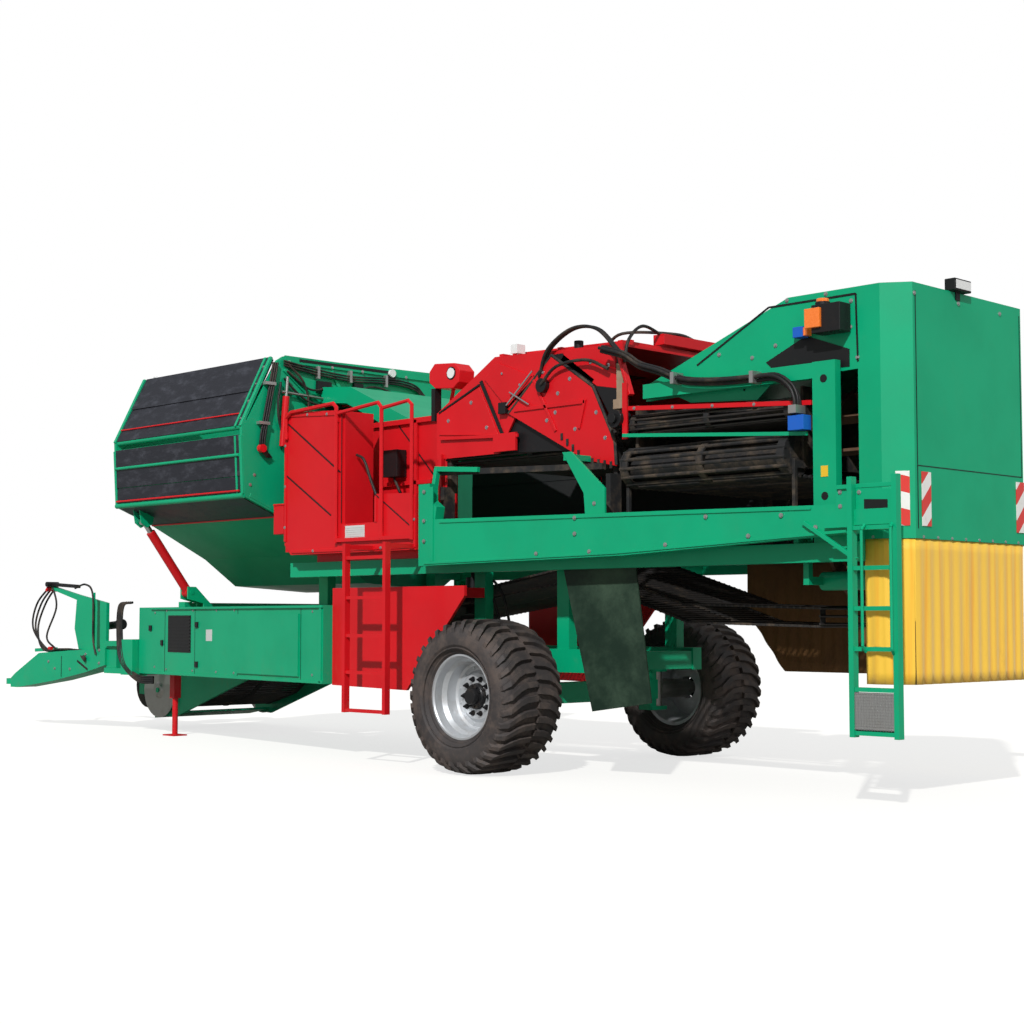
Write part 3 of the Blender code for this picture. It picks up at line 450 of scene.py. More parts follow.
def smoothLine(points, steps=8):
    if len(points) < 3:
        return points
    ends = [points[0] * 2 - points[1], *points, points[-1] * 2 - points[-2]]
    line = []
    for a, b, c, d in zip(ends, ends[1:], ends[2:], ends[3:]):
        for step in range(steps):
            t = step / steps
            square, cube = 2 * a - 5 * b + 4 * c - d, 3 * b - a - 3 * c + d
            line.append(0.5 * (2 * b + (c - a) * t + square * t ** 2 + cube * t ** 3))
    return line + [points[-1]]


# hexagon heads with a washer, standing along a normal
def newBolts(bm, places, normal, radius=0.016, tall=0.014):
    normal = Vector(normal).normalized()
    for place in places:
        foot = at(*place)
        newRod(bm, foot - normal * 0.004, foot + normal * 0.003, radius * 1.5, 12)
        newRod(bm, foot + normal * 0.002, foot + normal * tall, radius, 6)


wheel = {"radius": 0.655, "width": 0.7, "seat": 0.355, "track": 1.37, "z": 0.655, "lugs": 34,
    "lugDepth": 0.028}


def makeTyre(name, side):
    half, r, seat = wheel["width"] / 2, wheel["radius"], wheel["seat"]
    hub = at(0, side * wheel["track"], wheel["z"])
    deep = r - wheel["lugDepth"]
    bm = bmesh.new()
    outer = [(deep - 0.006, 0.0), (deep - 0.008, 0.16), (deep - 0.018, 0.26), (deep - 0.048, 0.315),
        (r - 0.115, half - 0.012), (r - 0.165, half), (r - 0.215, half - 0.004),
        (seat + 0.045, half - 0.035), (seat + 0.034, half - 0.05), (seat + 0.022, half - 0.052),
        (seat + 0.016, half - 0.066), (seat, half - 0.08)]
    profile = [(p, -s) for p, s in reversed(outer[1:])] + outer
    newSpin(bm, profile, hub, "Y", 72)
    # V-shaped bars: two rows that lean to the middle, each in three steps over the crown
    count = wheel["lugs"]
    for index in range(count):
        for half_side in (1, -1):
            start = math.tau * (index + (0.5 if half_side < 0 else 0)) / count
            levels = [(0.008, 0.0, 0.0), (0.13, 0.01, 0.0), (0.2, 0.036, 0.004), (0.29, 0.105, 0.022),
                (0.338, 0.14, 0.075)]
            ring = []
            for level, lead, drop in levels:
                top = r - drop - 0.001
                wide = 0.030 if level < 0.3 else 0.026
                quad = []
                section = ((-wide, top - 0.045), (-wide * 0.78, top), (wide * 0.78, top),
                    (wide, top - 0.045))
                for along, radius in section:
                    angle = start + (lead + along) / r
                    quad.append(bm.verts.new(hub + Vector(
                        (radius * math.cos(angle), half_side * level, radius * math.sin(angle)))))
                ring.append(quad)
            for first, second in zip(ring, ring[1:]):
                for a in range(4):
                    b = (a + 1) % 4
                    bm.faces.new((first[a], first[b], second[b], second[a]))
            bm.faces.new(ring[0])
            bm.faces.new(ring[-1])
    # side wall rings
    for s in (1, -1):
        for radius, level in ((r - 0.18, half - 0.005), (r - 0.235, half - 0.013)):
            newSpin(bm,
                [(radius, s * level), (radius - 0.004, s * (level + 0.003)),
                    (radius - 0.012, s * (level + 0.002)), (radius - 0.014, s * (level - 0.004))], hub, "Y",
                72)
    finishPiece(bm, name + "_tyre_tread", name + "_wheel", "tyre", 32, replaces=[name + "_tyre"])


def makeRim(name, side):
    hub = at(0, side * wheel["track"], wheel["z"])
    seat = wheel["seat"] - 0.001
    bm = bmesh.new()
    # radius, level: flange, bead seat, step of the well, cone, disc
    face = [(seat + 0.004, 0.262), (seat + 0.01, 0.27), (seat + 0.006, 0.282), (seat - 0.01, 0.284),
        (seat - 0.02, 0.272), (seat - 0.026, 0.235), (seat - 0.03, 0.2), (seat - 0.058, 0.165),
        (seat - 0.066, 0.1), (seat - 0.07, 0.075), (seat - 0.09, 0.062), (0.222, 0.066), (0.195, 0.088),
        (0.15, 0.092), (0.112, 0.09), (0.105, 0.07)]
    back = [(0.105, -0.05), (0.2, -0.02), (seat - 0.075, 0.03), (seat - 0.05, -0.2), (seat - 0.03, -0.255),
        (seat, -0.262), (seat + 0.002, -0.2), (seat + 0.0005, 0.0), (seat + 0.002, 0.2)]
    newSpin(bm, [(r, side * s) for r, s in face + back], hub, "Y", 72)
    for index in range(12):  # openings are shown as pressed hand holes
        angle = math.tau * (index + 0.5) / 12
        centre = hub + Vector((0.243 * math.cos(angle), side * 0.066, 0.243 * math.sin(angle)))
        newRod(bm, centre - Vector((0, side * 0.004, 0)), centre + Vector((0, side * 0.004, 0)), 0.012, 12)
    finishPiece(bm, name + "_rim_dish", name + "_wheel", "silver", 30,
        replaces=[name + "_rim"])
    bm = bmesh.new()
    drum = [(0.105, 0.085), (0.105, 0.125), (0.098, 0.132), (0.075, 0.134), (0.07, 0.17), (0.062, 0.182),
        (0.0, 0.184), (0.0, 0.085)]
    newSpin(bm, [(r, side * s) for r, s in drum], hub, "Y", 32, True)
    for index in range(10):
        angle = math.tau * index / 10
        centre = hub + Vector((0.150 * math.cos(angle), side * 0.090, 0.150 * math.sin(angle)))
        out = Vector((0, side, 0))
        newRod(bm, centre - out * 0.004, centre + out * 0.008, 0.024, 14)
        newRod(bm, centre + out * 0.004, centre + out * 0.028, 0.016, 6)
        newRod(bm, centre + out * 0.020, centre + out * 0.044, 0.009, 10)
        centre = hub + Vector((0.088 * math.cos(angle + 0.2), side * 0.134, 0.088 * math.sin(angle + 0.2)))
        newRod(bm, centre - out * 0.002, centre + out * 0.010, 0.008, 6)
    finishPiece(bm, name + "_wheel_hub", name + "_wheel", "black", 30)


def makeWheels():
    for name, side in (("left", 1), ("right", -1)):
        makeTyre(name, side)
        makeRim(name, side)
    print("wheels")


def loopPath(ends, radius, steps=8):
    (u1, v1), (u2, v2) = ends
    lean = math.atan2(v1 - v2, u1 - u2)
    points = []
    for centre, start in (((u1, v1), -math.pi / 2), ((u2, v2), math.pi / 2)):
        for step in range(steps + 1):
            angle = lean + start + math.pi * step / steps
            points.append(
                Vector((centre[0] + radius * math.cos(angle), centre[1] + radius * math.sin(angle))))
    return points


# points at an even spacing along a path, with the direction of travel at each
def walk(path, spacing, closed=True):
    places, carry = [], 0.0
    pairs = list(zip(path, path[1:] + path[:1] if closed else path[1:]))
    for first, second in pairs:
        run = second - first
        length = run.length
        if length < 1e-6:
            continue
        travelled = carry
        while travelled < length:
            places.append((first + run * (travelled / length), run / length))
            travelled += spacing
        carry = travelled - length
    return places


# a web: round bars at an even pitch between rubber belts, round a closed path in one plane
def makeWeb(name, plane, path, low, high, pitch, bar, belts, body="chassis", replaces=(), look="bars"):
    path = [Vector(p) for p in path]
    to = frames[plane]
    bm = bmesh.new()
    for place, run in walk(path, pitch):
        newRod(bm, to(*place, low), to(*place, high), bar, 8)
    finishPiece(bm, name + "_bars", body, look, 40, replaces=replaces)
    bm = bmesh.new()
    for centre, width in belts:
        ring = []
        section = ((-0.010, -width / 2), (0.006, -width / 2), (0.006, width / 2), (-0.010, width / 2))
        for index, point in enumerate(path):
            run = (path[(index + 1) % len(path)] - path[index - 1]).normalized()
            side = Vector((run.y, -run.x))
            ring.append([bm.verts.new(to(*(point + side * push), centre + shift))
                         for push, shift in section])
        for first, second in zip(ring, ring[1:] + ring[:1]):
            for a in range(4):
                b = (a + 1) % 4
                bm.faces.new((first[a], first[b], second[b], second[a]))
    finishPiece(bm, name + "_belts", body, "rubber", 40)


crossWeb = {"rear": -3.02, "front": -1.39, "lower": (1.04, 2.53, 0.17), "upper": (1.02, 2.88, 0.09)}


def makeWebs():
    rear, front = crossWeb["rear"], crossWeb["front"]
    inner = (rear + front) / 2
    y, z, r = crossWeb["lower"]
    makeWeb("cross_web_lower", "YZ", loopPath(((y, z), (-0.9, z)), r - 0.016), rear, front, 0.074, 0.015,
        [(rear + 0.05, 0.06), (inner, 0.06), (front - 0.05, 0.06)], replaces=["cross_web"], look="rubber")
    y, z, r = crossWeb["upper"]
    makeWeb("cross_web_upper", "YZ", loopPath(((y, z), (-0.90, z)), r - 0.010), rear, front, 0.040, 0.009,
            [(rear + 0.05, 0.05), (inner, 0.05), (front - 0.05, 0.05)])
    # the rolls at both ends of the two cross webs, and their end plates and side legs
    bm = bmesh.new()
    for z0, r0, y0 in ((2.53, 0.10, 1.02), (2.53, 0.10, -0.86), (2.88, 0.045, 1.01), (2.88, 0.045, -0.88)):
        newRod(bm, at(rear + 0.004, y0, z0), at(front - 0.004, y0, z0), r0, 20)
    for x in (rear - 0.018, front - 0.010):
        newBox(bm, at(x, -0.97, 2.44), at(x + 0.028, 0.98, 3.052))
        for side in (1, -1):
            y1, y2 = sorted((side * 1.063, side * 1.098))
            newBox(bm, at(x, y1, 1.862), at(x + 0.028, y2, 2.50))
            y1, y2 = sorted((side * 0.96, side * 1.09))
            newBox(bm, at(x + 0.001, y1, 2.43), at(x + 0.027, y2, 2.49))
    finishPiece(bm, "cross_web_frame", "chassis", "rubber", 35, 0.003)
    bm = bmesh.new()
    for x in (rear + 0.012, front - 0.012):
        newRod(bm, at(x - 0.006, 1.04, 2.53), at(x + 0.006, 1.04, 2.53), 0.162, 28)
    finishPiece(bm, "cross_web_discs", "chassis", "rubber", 35)

    makeWeb("second_web", "YZ", loopPath(((0.92, 2.80), (-0.85, 2.80)), 0.090), -1.22, 0.90, 0.045, 0.010,
            [(-1.17, 0.06), (-0.16, 0.06), (0.85, 0.06)], replaces=["second_web"])
    bm = bmesh.new()
    for y0 in (0.90, -0.83):
        newRod(bm, at(-1.215, y0, 2.80), at(0.895, y0, 2.80), 0.05, 16)
    for x in (-1.20, 0.82):
        for side in (1, -1):
            y1, y2 = sorted((side * 0.96, side * 1.10))
            newBox(bm, at(x, y1, 1.862), at(x + 0.05, y2, 2.50))
            y1, y2 = sorted((side * 0.93, side * 1.01))
            newBox(bm, at(x + 0.001, y1, 2.45), at(x + 0.049, y2, 2.80))
    finishPiece(bm, "second_web_frame", "chassis", "rubber", 35, 0.003)

    half = 0.66
    sieve = [(3.79, 1.108), (-0.45, 1.788), (-1.60, 1.430), (-2.94, 1.390), (-2.94, 1.250), (-1.64, 1.282),
             (-0.45, 1.652), (3.79, 1.070)]
    makeWeb("sieve_web", "XZ", sieve, -half, half, 0.06, 0.01,
        [(-half + 0.04, 0.07), (0, 0.07), (half - 0.04, 0.07)], replaces=["sieve_web"])
    dig = [(3.97, 1.3), (5.9, 0.785), (6.83, 0.33), (6.83, 0.262), (6.3, 0.415), (5.9, 0.675),
        (3.97, 1.195)]
    makeWeb("digger_web", "XZ", dig, -1.465, -0.095, 0.055, 0.011,
        [(-1.42, 0.07), (-0.78, 0.07), (-0.14, 0.07)], "digger", replaces=["digger_web"])
    print("webs")



bunker = {"rear": 3.081, "front": 5.399, "wall": ((1.7, 3.11), (1.66, 2.5)),
    "belly": ((1.66, 2.5), (1.23, 2.33)), "knee": (1.66, 3.2), "top": (1.31, 3.9), "bands": 3, "lip": 0.008}


def newSlats(bm, start, end, count, low, high, proud, thick):
    # bands across the bunker, each one lapping over the next
    run = (Vector(end) - Vector(start)).normalized()
    out = Vector((-run.y, run.x))
    out = -out if out.x < 0 else out
    length = (Vector(end) - Vector(start)).length / count
    for index in range(count):
        a = Vector(start) + run * (length * index + 0.003)
        b = a + run * (length - 0.006)
        section = [a + out * proud, b + out * (proud + bunker["lip"]), b + out * (proud - thick),
            a + out * (proud - thick)]
        newPlate(bm, "YZ", [tuple(p) for p in section], low, high)


def makeBunker():
    rear, front = bunker["rear"], bunker["front"]
    bm = bmesh.new()
    newSlats(bm, *bunker["wall"], bunker["bands"], rear + 0.04, front - 0.04, 0.008, 0.006)
    newSlats(bm, *bunker["belly"], 3, rear + 0.04, front - 0.04, 0.006, 0.004)
    finishPiece(bm, "bunker_belt", "bunker", "belt", 30, 0.002)
    knee, top = Vector(bunker["knee"]), Vector(bunker["top"])
    slope = (top - knee).normalized()
    out = Vector((slope.y, -slope.x))
    bm = bmesh.new()
    newSlats(bm, top, knee - slope * 0.02, 2, rear + 0.05, front - 0.05, 0.034, 0.058)
    newPlate(bm, "YZ",
        [tuple(p) for p in (top - out * 0.024, knee - out * 0.024, knee + out * 0.03, top + out * 0.03)],
        rear + 0.051, front - 0.051)
    finishPiece(bm, "bunker_end_belt", "bunker_end", "belt", 30, 0.002, ["bunker_end"])

    def along(x, far, proud):
        point = knee + slope * far + out * proud
        return x, point.x, point.y

    bm = bmesh.new()
    reach = (top - knee).length
    for x, wide in ((rear + 0.022, 0.040), (rear + 0.105, 0.030), (front - 0.022, 0.040)):
        newBar(bm, at(*along(x, -0.03, 0.034)), at(*along(x, reach - 0.01, 0.034)), wide, 0.030)
        newBar(bm, at(x, 1.701, 3.10), at(x, 1.667, 2.53), wide, 0.026)
    newRod(bm, at(rear + 0.02, 1.668, 3.19), at(front - 0.02, 1.668, 3.19), 0.030, 16)
    finishPiece(bm, "bunker_end_rails", "bunker_end", "green", 35, 0.003)
    buildPiece("bunker_end_trim", "bunker_end", "red", "red_paint",
               rods=[(0.008, along(rear + 0.12, 0.12, 0.046), along(front - 0.05, 0.12, 0.046))])
    buildPiece("bunker_end_bolts", "bunker_end", "grey", "steel",
        bolts=[((0, 0.894, 0.447), 0.011, 0.01,
            [along(rear + 0.064, far, 0.037) for far in (0.06, 0.26, 0.46, 0.66)])])
    buildPiece("bunker_low_tube", "bunker", "green", "green_paint",
               rods=[(0.028, (rear + 0.01, 1.664, 2.515), (front - 0.01, 1.664, 2.515)),
                     (0.016, (rear + 0.04, 1.704, 2.91), (front - 0.04, 1.704, 2.91))])
    buildPiece("bunker_red_bars", "bunker", "red", "red_paint",
               rods=[(0.010, (rear + 0.05, 1.694, 2.560), (front - 0.05, 1.694, 2.560)),
                     (0.012, (rear + 0.05, 1.245, 2.325), (front - 0.05, 1.245, 2.325))])
    # rim bars and ribs on the end plates
    bm = bmesh.new()
    for x in (rear + 0.021, front - 0.021):
        rim = [(1.26, 3.86), (1.19, 3.905), (-0.80, 3.935)]
        for first, second in zip(rim, rim[1:]):
            newBar(bm, at(x, *first), at(x, *second), 0.047, 0.035)
        ribs = ((1.655, 2.60), (1.655, 3.06)), ((1.60, 2.52), (1.24, 2.37)), ((1.20, 2.35), (0.55, 2.02))
        for first, second in ribs:
            newBar(bm, at(x, *first), at(x, *second), 0.051, 0.04)
    finishPiece(bm, "bunker_rims", "bunker", "green", 35, 0.004)
    for name, parts in bunkerTrim.items():
        buildPiece(name, "bunker", **parts)
    hosePiece("bunker_rear_hoses",
        [[(3.055, 1.22, 3.88 - d), (3.045, 0.81, 3.83 - d), (3.045, 0.37, 3.805 - d),
            (3.045, -0.15, 3.83 - d), (3.05, -0.5, 3.8 - d), (3.06, -0.66, 3.7 - d)]
            for d in (0, 0.024, 0.048)], 0.01, "bunker")
    hosePiece("bunker_cross_hoses",
        [[(3.05, 1.18, 3.78), (3.04, 0.9, 3.62), (3.045, 0.6, 3.66), (3.045, 0.3, 3.58), (3.05, -0.1, 3.62),
            (3.06, -0.45, 3.5)],
            [(3.05, 1.22, 3.7), (3.04, 0.98, 3.52), (3.04, 0.7, 3.46), (3.045, 0.4, 3.44),
                (3.055, 0.1, 3.3)],
            [(3.05, 1.16, 3.84), (3.035, 1.0, 3.7), (3.04, 0.92, 3.5), (3.05, 0.94, 3.3),
                (3.06, 1.02, 3.12)],
            [(3.05, 0.72, 3.62), (3.04, 0.66, 3.45), (3.05, 0.52, 3.3), (3.06, 0.46, 3.12)],
            [(3.05, 0.26, 3.66), (3.035, 0.1, 3.72), (3.04, -0.12, 3.7), (3.05, -0.3, 3.6),
                (3.06, -0.34, 3.42)],
            [(3.05, 1.26, 3.66), (3.04, 1.3, 3.4), (3.05, 1.24, 3.16), (3.06, 1.1, 2.98)]], 0.012, "bunker")
    hosePiece("bunker_side_hoses",
        [[(3.05, 1.3 + d, 3.85), (3.045, 1.36 + d, 3.55), (3.045, 1.45 + d, 3.1), (3.05, 1.44 + d, 2.98),
            (3.06, 1.36 + d, 2.9)] for d in (0, 0.026, 0.052)], 0.011, "bunker")
    print("bunker")


bunkerTrim = {
    "bunker_rear_beam": dict(look="green", bevel=0.004, boxes=[((3.064, -1.3, 3.862), (3.079, 1.2, 3.938))],
        bars=[(0.014, 0.05, (3.072, 0.1, 3.35), (3.072, 1.25, 3.35)),
            (0.014, 0.05, (3.072, 1.2, 3.8), (3.072, 0.62, 3.37)),
            (0.014, 0.04, (3.072, 0.6, 3.84), (3.072, 0.3, 3.37))]),
    "bunker_rear_slot": dict(look="black",
        boxes=[((3.0605, -0.2, 3.89), (3.066, 1.02, 3.918)), ((3.05, -0.24, 3.82), (3.066, -0.14, 3.88)),
            ((3.045, 0.62, 3.6), (3.078, 0.8, 3.72)), ((3.045, 0.2, 3.64), (3.078, 0.32, 3.74))]),
    "bunker_rear_clamps": dict(look="grey",
        boxes=[((3.03, y, 3.74), (3.08, y + 0.03, 3.865)) for y in (0.78, 0.36, -0.12)] + [
            ((3.028, 1.33, 3.62), (3.08, 1.46, 3.65)), ((3.028, 1.4, 3.22), (3.08, 1.53, 3.25))]),
    "bunker_rear_cylinder": dict(look="red",
        rods=[(0.05, (3.02, 0.48, 3.53), (3.02, 0.06, 3.52)),
            (0.034, (3.04, 1.24, 3.02), (3.04, 1.2, 3.52)), (0.04, (3.055, 1.5, 2.98), (3.0, 1.5, 2.98))]),
    "bunker_rear_tubes": dict(look="steel", slot="steel",
        rods=[(0.014, (3.045, 1.25, 3.565), (3.035, 0.5, 3.53)),
            (0.016, (3.04, 1.2, 3.52), (3.04, 1.185, 3.72)),
            (0.012, (3.05, 0.05, 3.52), (3.05, -0.5, 3.22), (3.06, -0.9, 3.2))]),
    "bunker_rear_lamp": dict(look="white",
        rods=[(0.042, (3.066, -0.19, 3.895), (3.03, -0.19, 3.895)),
            (0.03, (5.33, 1.255, 3.915), (5.33, 1.215, 3.925))]),
    "bunker_rear_bolts": dict(look="grey",
        bolts=[((-1, 0, 0), 0.011, 0.01,
            [(3.063, y, 3.875) for y in (1.15, 0.6, 0.2, -0.4, -0.8, -1.2)] + [(3.08, y, z)
                for y, z in ((1.42, 3.36), (1.55, 2.72), (1.1, 2.42), (0.6, 2.18), (1.6, 2.62))])])}

curtain = {"low": 0.842, "high": 1.879, "cut": 1.843, "pleats": 0.125, "depth": 0.018,
    "plan": [(-3.6, 1.046), (-3.76, 1.046), (-3.946, 0.917), (-3.946, -0.618), (-3.6, -1.046),
        (-0.955, -1.046)]}


def makeCurtain():
    path = [Vector(p) for p in curtain["plan"]]
    length = sum((b - a).length for a, b in zip(path, path[1:]))
    steps, rows = 420, 12
    bm = bmesh.new()
    uv = bm.loops.layers.uv.new("cloth")
    grid, places = [], []
    for index in range(steps + 1):
        wanted = length * index / steps
        for a, b in zip(path, path[1:]):
            run = (b - a).length
            if wanted <= run or b == path[-1]:
                heading = (b - a) / run
                places.append((a + heading * min(run, wanted), Vector((heading.y, -heading.x)),
                    length * index / steps))
                break
            wanted -= run
    for row in range(rows + 1):
        down = row / rows
        line = []
        for spot, inward, far in places:
            wave = math.sin(far / curtain["pleats"] * math.tau + 0.9 * math.sin(far * 3.1)) * 0.5 + 0.5
            wave = 0.75 * wave + 0.25 * (noise.noise(Vector((far * 5, down * 1.2, 3.0))) * 0.5 + 0.5)
            point = spot - inward * (0.004 + wave * curtain["depth"] * (0.25 + 0.75 * down ** 0.7))
            if inward.dot(Vector((-2.6, 0)) - spot) > 0:
                point = spot * 2 - point
            right = spot.y < -1.04
            high = curtain["cut"] if right and spot.x > -3.1 else curtain["high"]
            low = max(curtain["low"], 0.745 + (spot.x + 1.437) * 1.312) if right else curtain["low"]
            line.append(bm.verts.new(at(point.x, point.y, high + (low - high) * down)))
        grid.append(line)
    for row in range(rows):
        for index in range(steps):
            face = bm.faces.new(
                (grid[row][index], grid[row][index + 1], grid[row + 1][index + 1], grid[row + 1][index]))
            corners = (index, row), (index + 1, row), (index + 1, row + 1), (index, row + 1)
            for loop, (u, v) in zip(face.loops, corners):
                loop[uv].uv = (length * u / steps, v / rows)
    area = sum(face.calc_area() for face in bm.faces)
    piece = finishPiece(bm, "curtain_cloth", "chassis", "cloth", 180, replaces=["curtain"])
    # the cloth's back faces in: the shell that the thickness adds takes the second material, a dark brown
    # that paints shade on the curtain's inner face
    if piece.data.polygons[0].normal.y < 0:
        piece.data.flip_normals()
    piece.data.materials.append(finishes["shaded_back"])
    thick = piece.modifiers.new("thickness", "SOLIDIFY")
    thick.material_offset = 1
    thick.thickness, thick.offset = 0.0025, 0
    # the clamping strip over the cloth's top edge, with its bolts
    strip, heads = bmesh.new(), bmesh.new()
    for a, b in zip(path[:5], path[1:5]):
        outward = Vector(((b - a).y, -(b - a).x)).normalized()
        if outward.dot(a - Vector((-2.6, 0))) < 0:
            outward = -outward
        newBar(strip, at(*(a + outward * 0.001), 1.893), at(*(b + outward * 0.001), 1.893), 0.008, 0.026)
        count = max(1, round((b - a).length / 0.19))
        spots = [a + (b - a) * ((i + 0.5) / count) + outward * 0.004 for i in range(count)]
        newBolts(heads, [(*p, 1.893) for p in spots], (*outward, 0), 0.008, 0.008)
    finishPiece(strip, "curtain_strip", "chassis", "green", 35)
    finishPiece(heads, "curtain_bolts", "chassis", "grey", 35)
    print("curtain")


def buildPiece(name, body, look, slot=None, boxes=(), rods=(), bars=(), plates=(), bolts=(), bevel=0.0):
    # straight shapes in the axle frame, gathered in one mesh
    bm = bmesh.new()
    for low, high in boxes:
        newBox(bm, at(*low), at(*high))
    for radius, *run in rods:
        for a, b in zip(run, run[1:]):
            newRod(bm, at(*a), at(*b), radius, 16)
    for wide, tall, *run in bars:
        for a, b in zip(run, run[1:]):
            newBar(bm, at(*a), at(*b), wide, tall)
    for plane, outline, low, high in plates:
        newPlate(bm, plane, outline, low, high)
    for normal, radius, tall, places in bolts:
        newBolts(bm, places, normal, radius, tall)
    return finishPiece(bm, name, body, look, 35, bevel)


cheekSlot = [(-2.08, 3.30), (-2.78, 3.668), (-3.56, 3.668), (-3.572, 3.17)]
cowlTrim = {
    # black edging along the cheek's cut edge, and a black plate where the cheek is open: painted shade of the
    # opening's inside
    "cheek_slot": dict(look="black", bars=[(0.006, 0.014, *[(x, 1.052, z) for x, z in cheekSlot])],
        plates=[("XZ", [(-2.75, 3.25), (-3.12, 3.41), (-3.5, 3.27), (-3.5, 3.14), (-2.85, 3.16)], 1.048,
            1.054)]),
    "cheek_lower_plates": dict(look="green", bevel=0.002,
        plates=[("XZ", [(-1.6, 3.2), (-2.85, 3.12), (-2.67, 2.97), (-2.02, 3.01)], 1.052, 1.062),
            ("XZ", [(-1.6, 3.18), (-2.85, 3.1), (-2.67, 2.99), (-2.02, 3.02)], -1.062, -1.052)]),
    "cheek_bolts": dict(look="grey",
        bolts=[((0, 1, 0), 0.011, 0.01,
            [(x, 1.052, z)
                for x, z in ((-2.84, 3.37), (-2.3, 3.36), (-3.52, 3.62), (-3.51, 3.43), (-3.57, 3.2),
                    (-2.62, 3.3), (-2.2, 3.08), (-2.55, 3.06), (-3.3, 3.7), (-2.95, 3.7))]),
            ((-1, 0, 0), 0.011, 0.01, [(-3.951, y, 3.64) for y in (0.9, 0.3, -0.3, -0.9)])]),
    "cowl_seams": dict(look="black",
        boxes=[((-3.954, 0.884, 1.95), (-3.949, 0.89, 3.66)), ((-3.953, -0.6, 2.4), (-3.949, -0.594, 3.66)),
            ((-3.953, -0.6, 2.398), (-3.949, 0.885, 2.404))]),
    "beacon_housing": dict(look="black", bevel=0.006,
        boxes=[((-3.52, 1.058, 3.39), (-3.27, 1.2, 3.6)), ((-3.5, 1.05, 3.42), (-3.38, 1.07, 3.55))],
        rods=[(0.056, (-3.33, 1.135, 3.585), (-3.33, 1.135, 3.625))]),
    "beacon_lens": dict(look="amber", bevel=0.006, boxes=[((-3.36, 1.12, 3.43), (-3.225, 1.225, 3.575))],
        rods=[(0.048, (-3.33, 1.135, 3.62), (-3.33, 1.135, 3.65))]),
    "work_lamp": dict(look="black", bevel=0.006,
        boxes=[((-4.0, 0.19, 3.725), (-3.91, 0.42, 3.815)), ((-3.96, 0.28, 3.66), (-3.935, 0.34, 3.74))]),
    "work_lamp_lens": dict(look="white", slot="rim_silver",
        boxes=[((-4.006, 0.205, 3.738), (-3.998, 0.405, 3.802))]),
    "stripe_plates": dict(look="stripes",
        boxes=[((-3.957, 0.72, 1.97), (-3.952, 0.84, 2.36)), ((-3.957, -0.62, 1.97), (-3.952, -0.5, 2.36))],
        plates=[("XY", [(-3.838, 0.999), (-3.92, 0.943), (-3.922, 0.947), (-3.84, 1.003)], 1.97, 2.36)]),
    "post_hole": dict(look="black",
        rods=[(0.03, (-3.34, 1.148, 3.06), (-3.34, 1.153, 3.06)),
            (0.03, (-3.34, 1.148, 2.2), (-3.34, 1.153, 2.2))]),
    "post_plate": dict(look="yellow", boxes=[((-3.37, 1.15, 2.34), (-3.31, 1.154, 2.42))]),
    "web_rail": dict(look="red", bevel=0.002,
        bars=[(0.025, 0.036, (-1.42, 1.128, 3.01), (-3.22, 1.128, 2.895)),
            (0.02, 0.05, (-1.41, 1.15, 3.22), (-1.41, 1.15, 2.76))]),
    "web_rail_bolts": dict(look="grey",
        bolts=[((0, 1, 0), 0.009, 0.009,
            [(x, 1.141, 3.01 - (-1.42 - x) * 0.064) for x in (-1.5, -1.9, -2.3, -2.7, -3.1)])]),
    "web_green_bar": dict(look="green", bars=[(0.022, 0.028, (-1.4, 1.165, 2.79), (-3.2, 1.165, 2.665))]),
    "web_motor": dict(look="black", bevel=0.004,
        rods=[(0.075, (-1.33, 1.06, 2.93), (-1.33, 1.2, 2.93)),
            (0.04, (-1.33, 1.2, 2.93), (-1.33, 1.23, 2.93))]),
    "hose_clamps": dict(look="grey",
        boxes=[((-2.01, 1.14, 3.145), (-1.975, 1.26, 3.235)), ((-2.78, 1.14, 3.075), (-2.745, 1.26, 3.165)),
            ((-3.17, 1.14, 2.815), (-3.1, 1.26, 2.875))]),
    "blue_boxes": dict(look="blue", bevel=0.004,
        boxes=[((-3.22, 1.14, 2.69), (-3.08, 1.24, 2.8)), ((-3.15, 1.062, 3.39), (-3.06, 1.14, 3.47))]),
    "box_ends": dict(look="amber", boxes=[((-3.185, 1.075, 3.4), (-3.15, 1.13, 3.46))])}


def makeCowlTrim():
    for name, parts in cowlTrim.items():
        buildPiece(name, "chassis", **parts)
    bend = [(-1.2, 3.52), (-1.45, 3.44), (-1.62, 3.34), (-1.83, 3.27), (-1.99, 3.2), (-2.14, 3.16),
        (-2.43, 3.13), (-2.76, 3.12), (-2.95, 3.11), (-3.08, 3.03), (-3.135, 2.93), (-3.14, 2.83)]
    hosePiece("web_hoses", [[(x - dz * 0.4, 1.20 + dy, z + dz) for x, z in bend] for dy, dz in (
        (-0.034, 0.0), (0.0, 0.014), (0.034, 0.0), (0.0, -0.024))], 0.0135, "chassis")
    print("cowl trim")


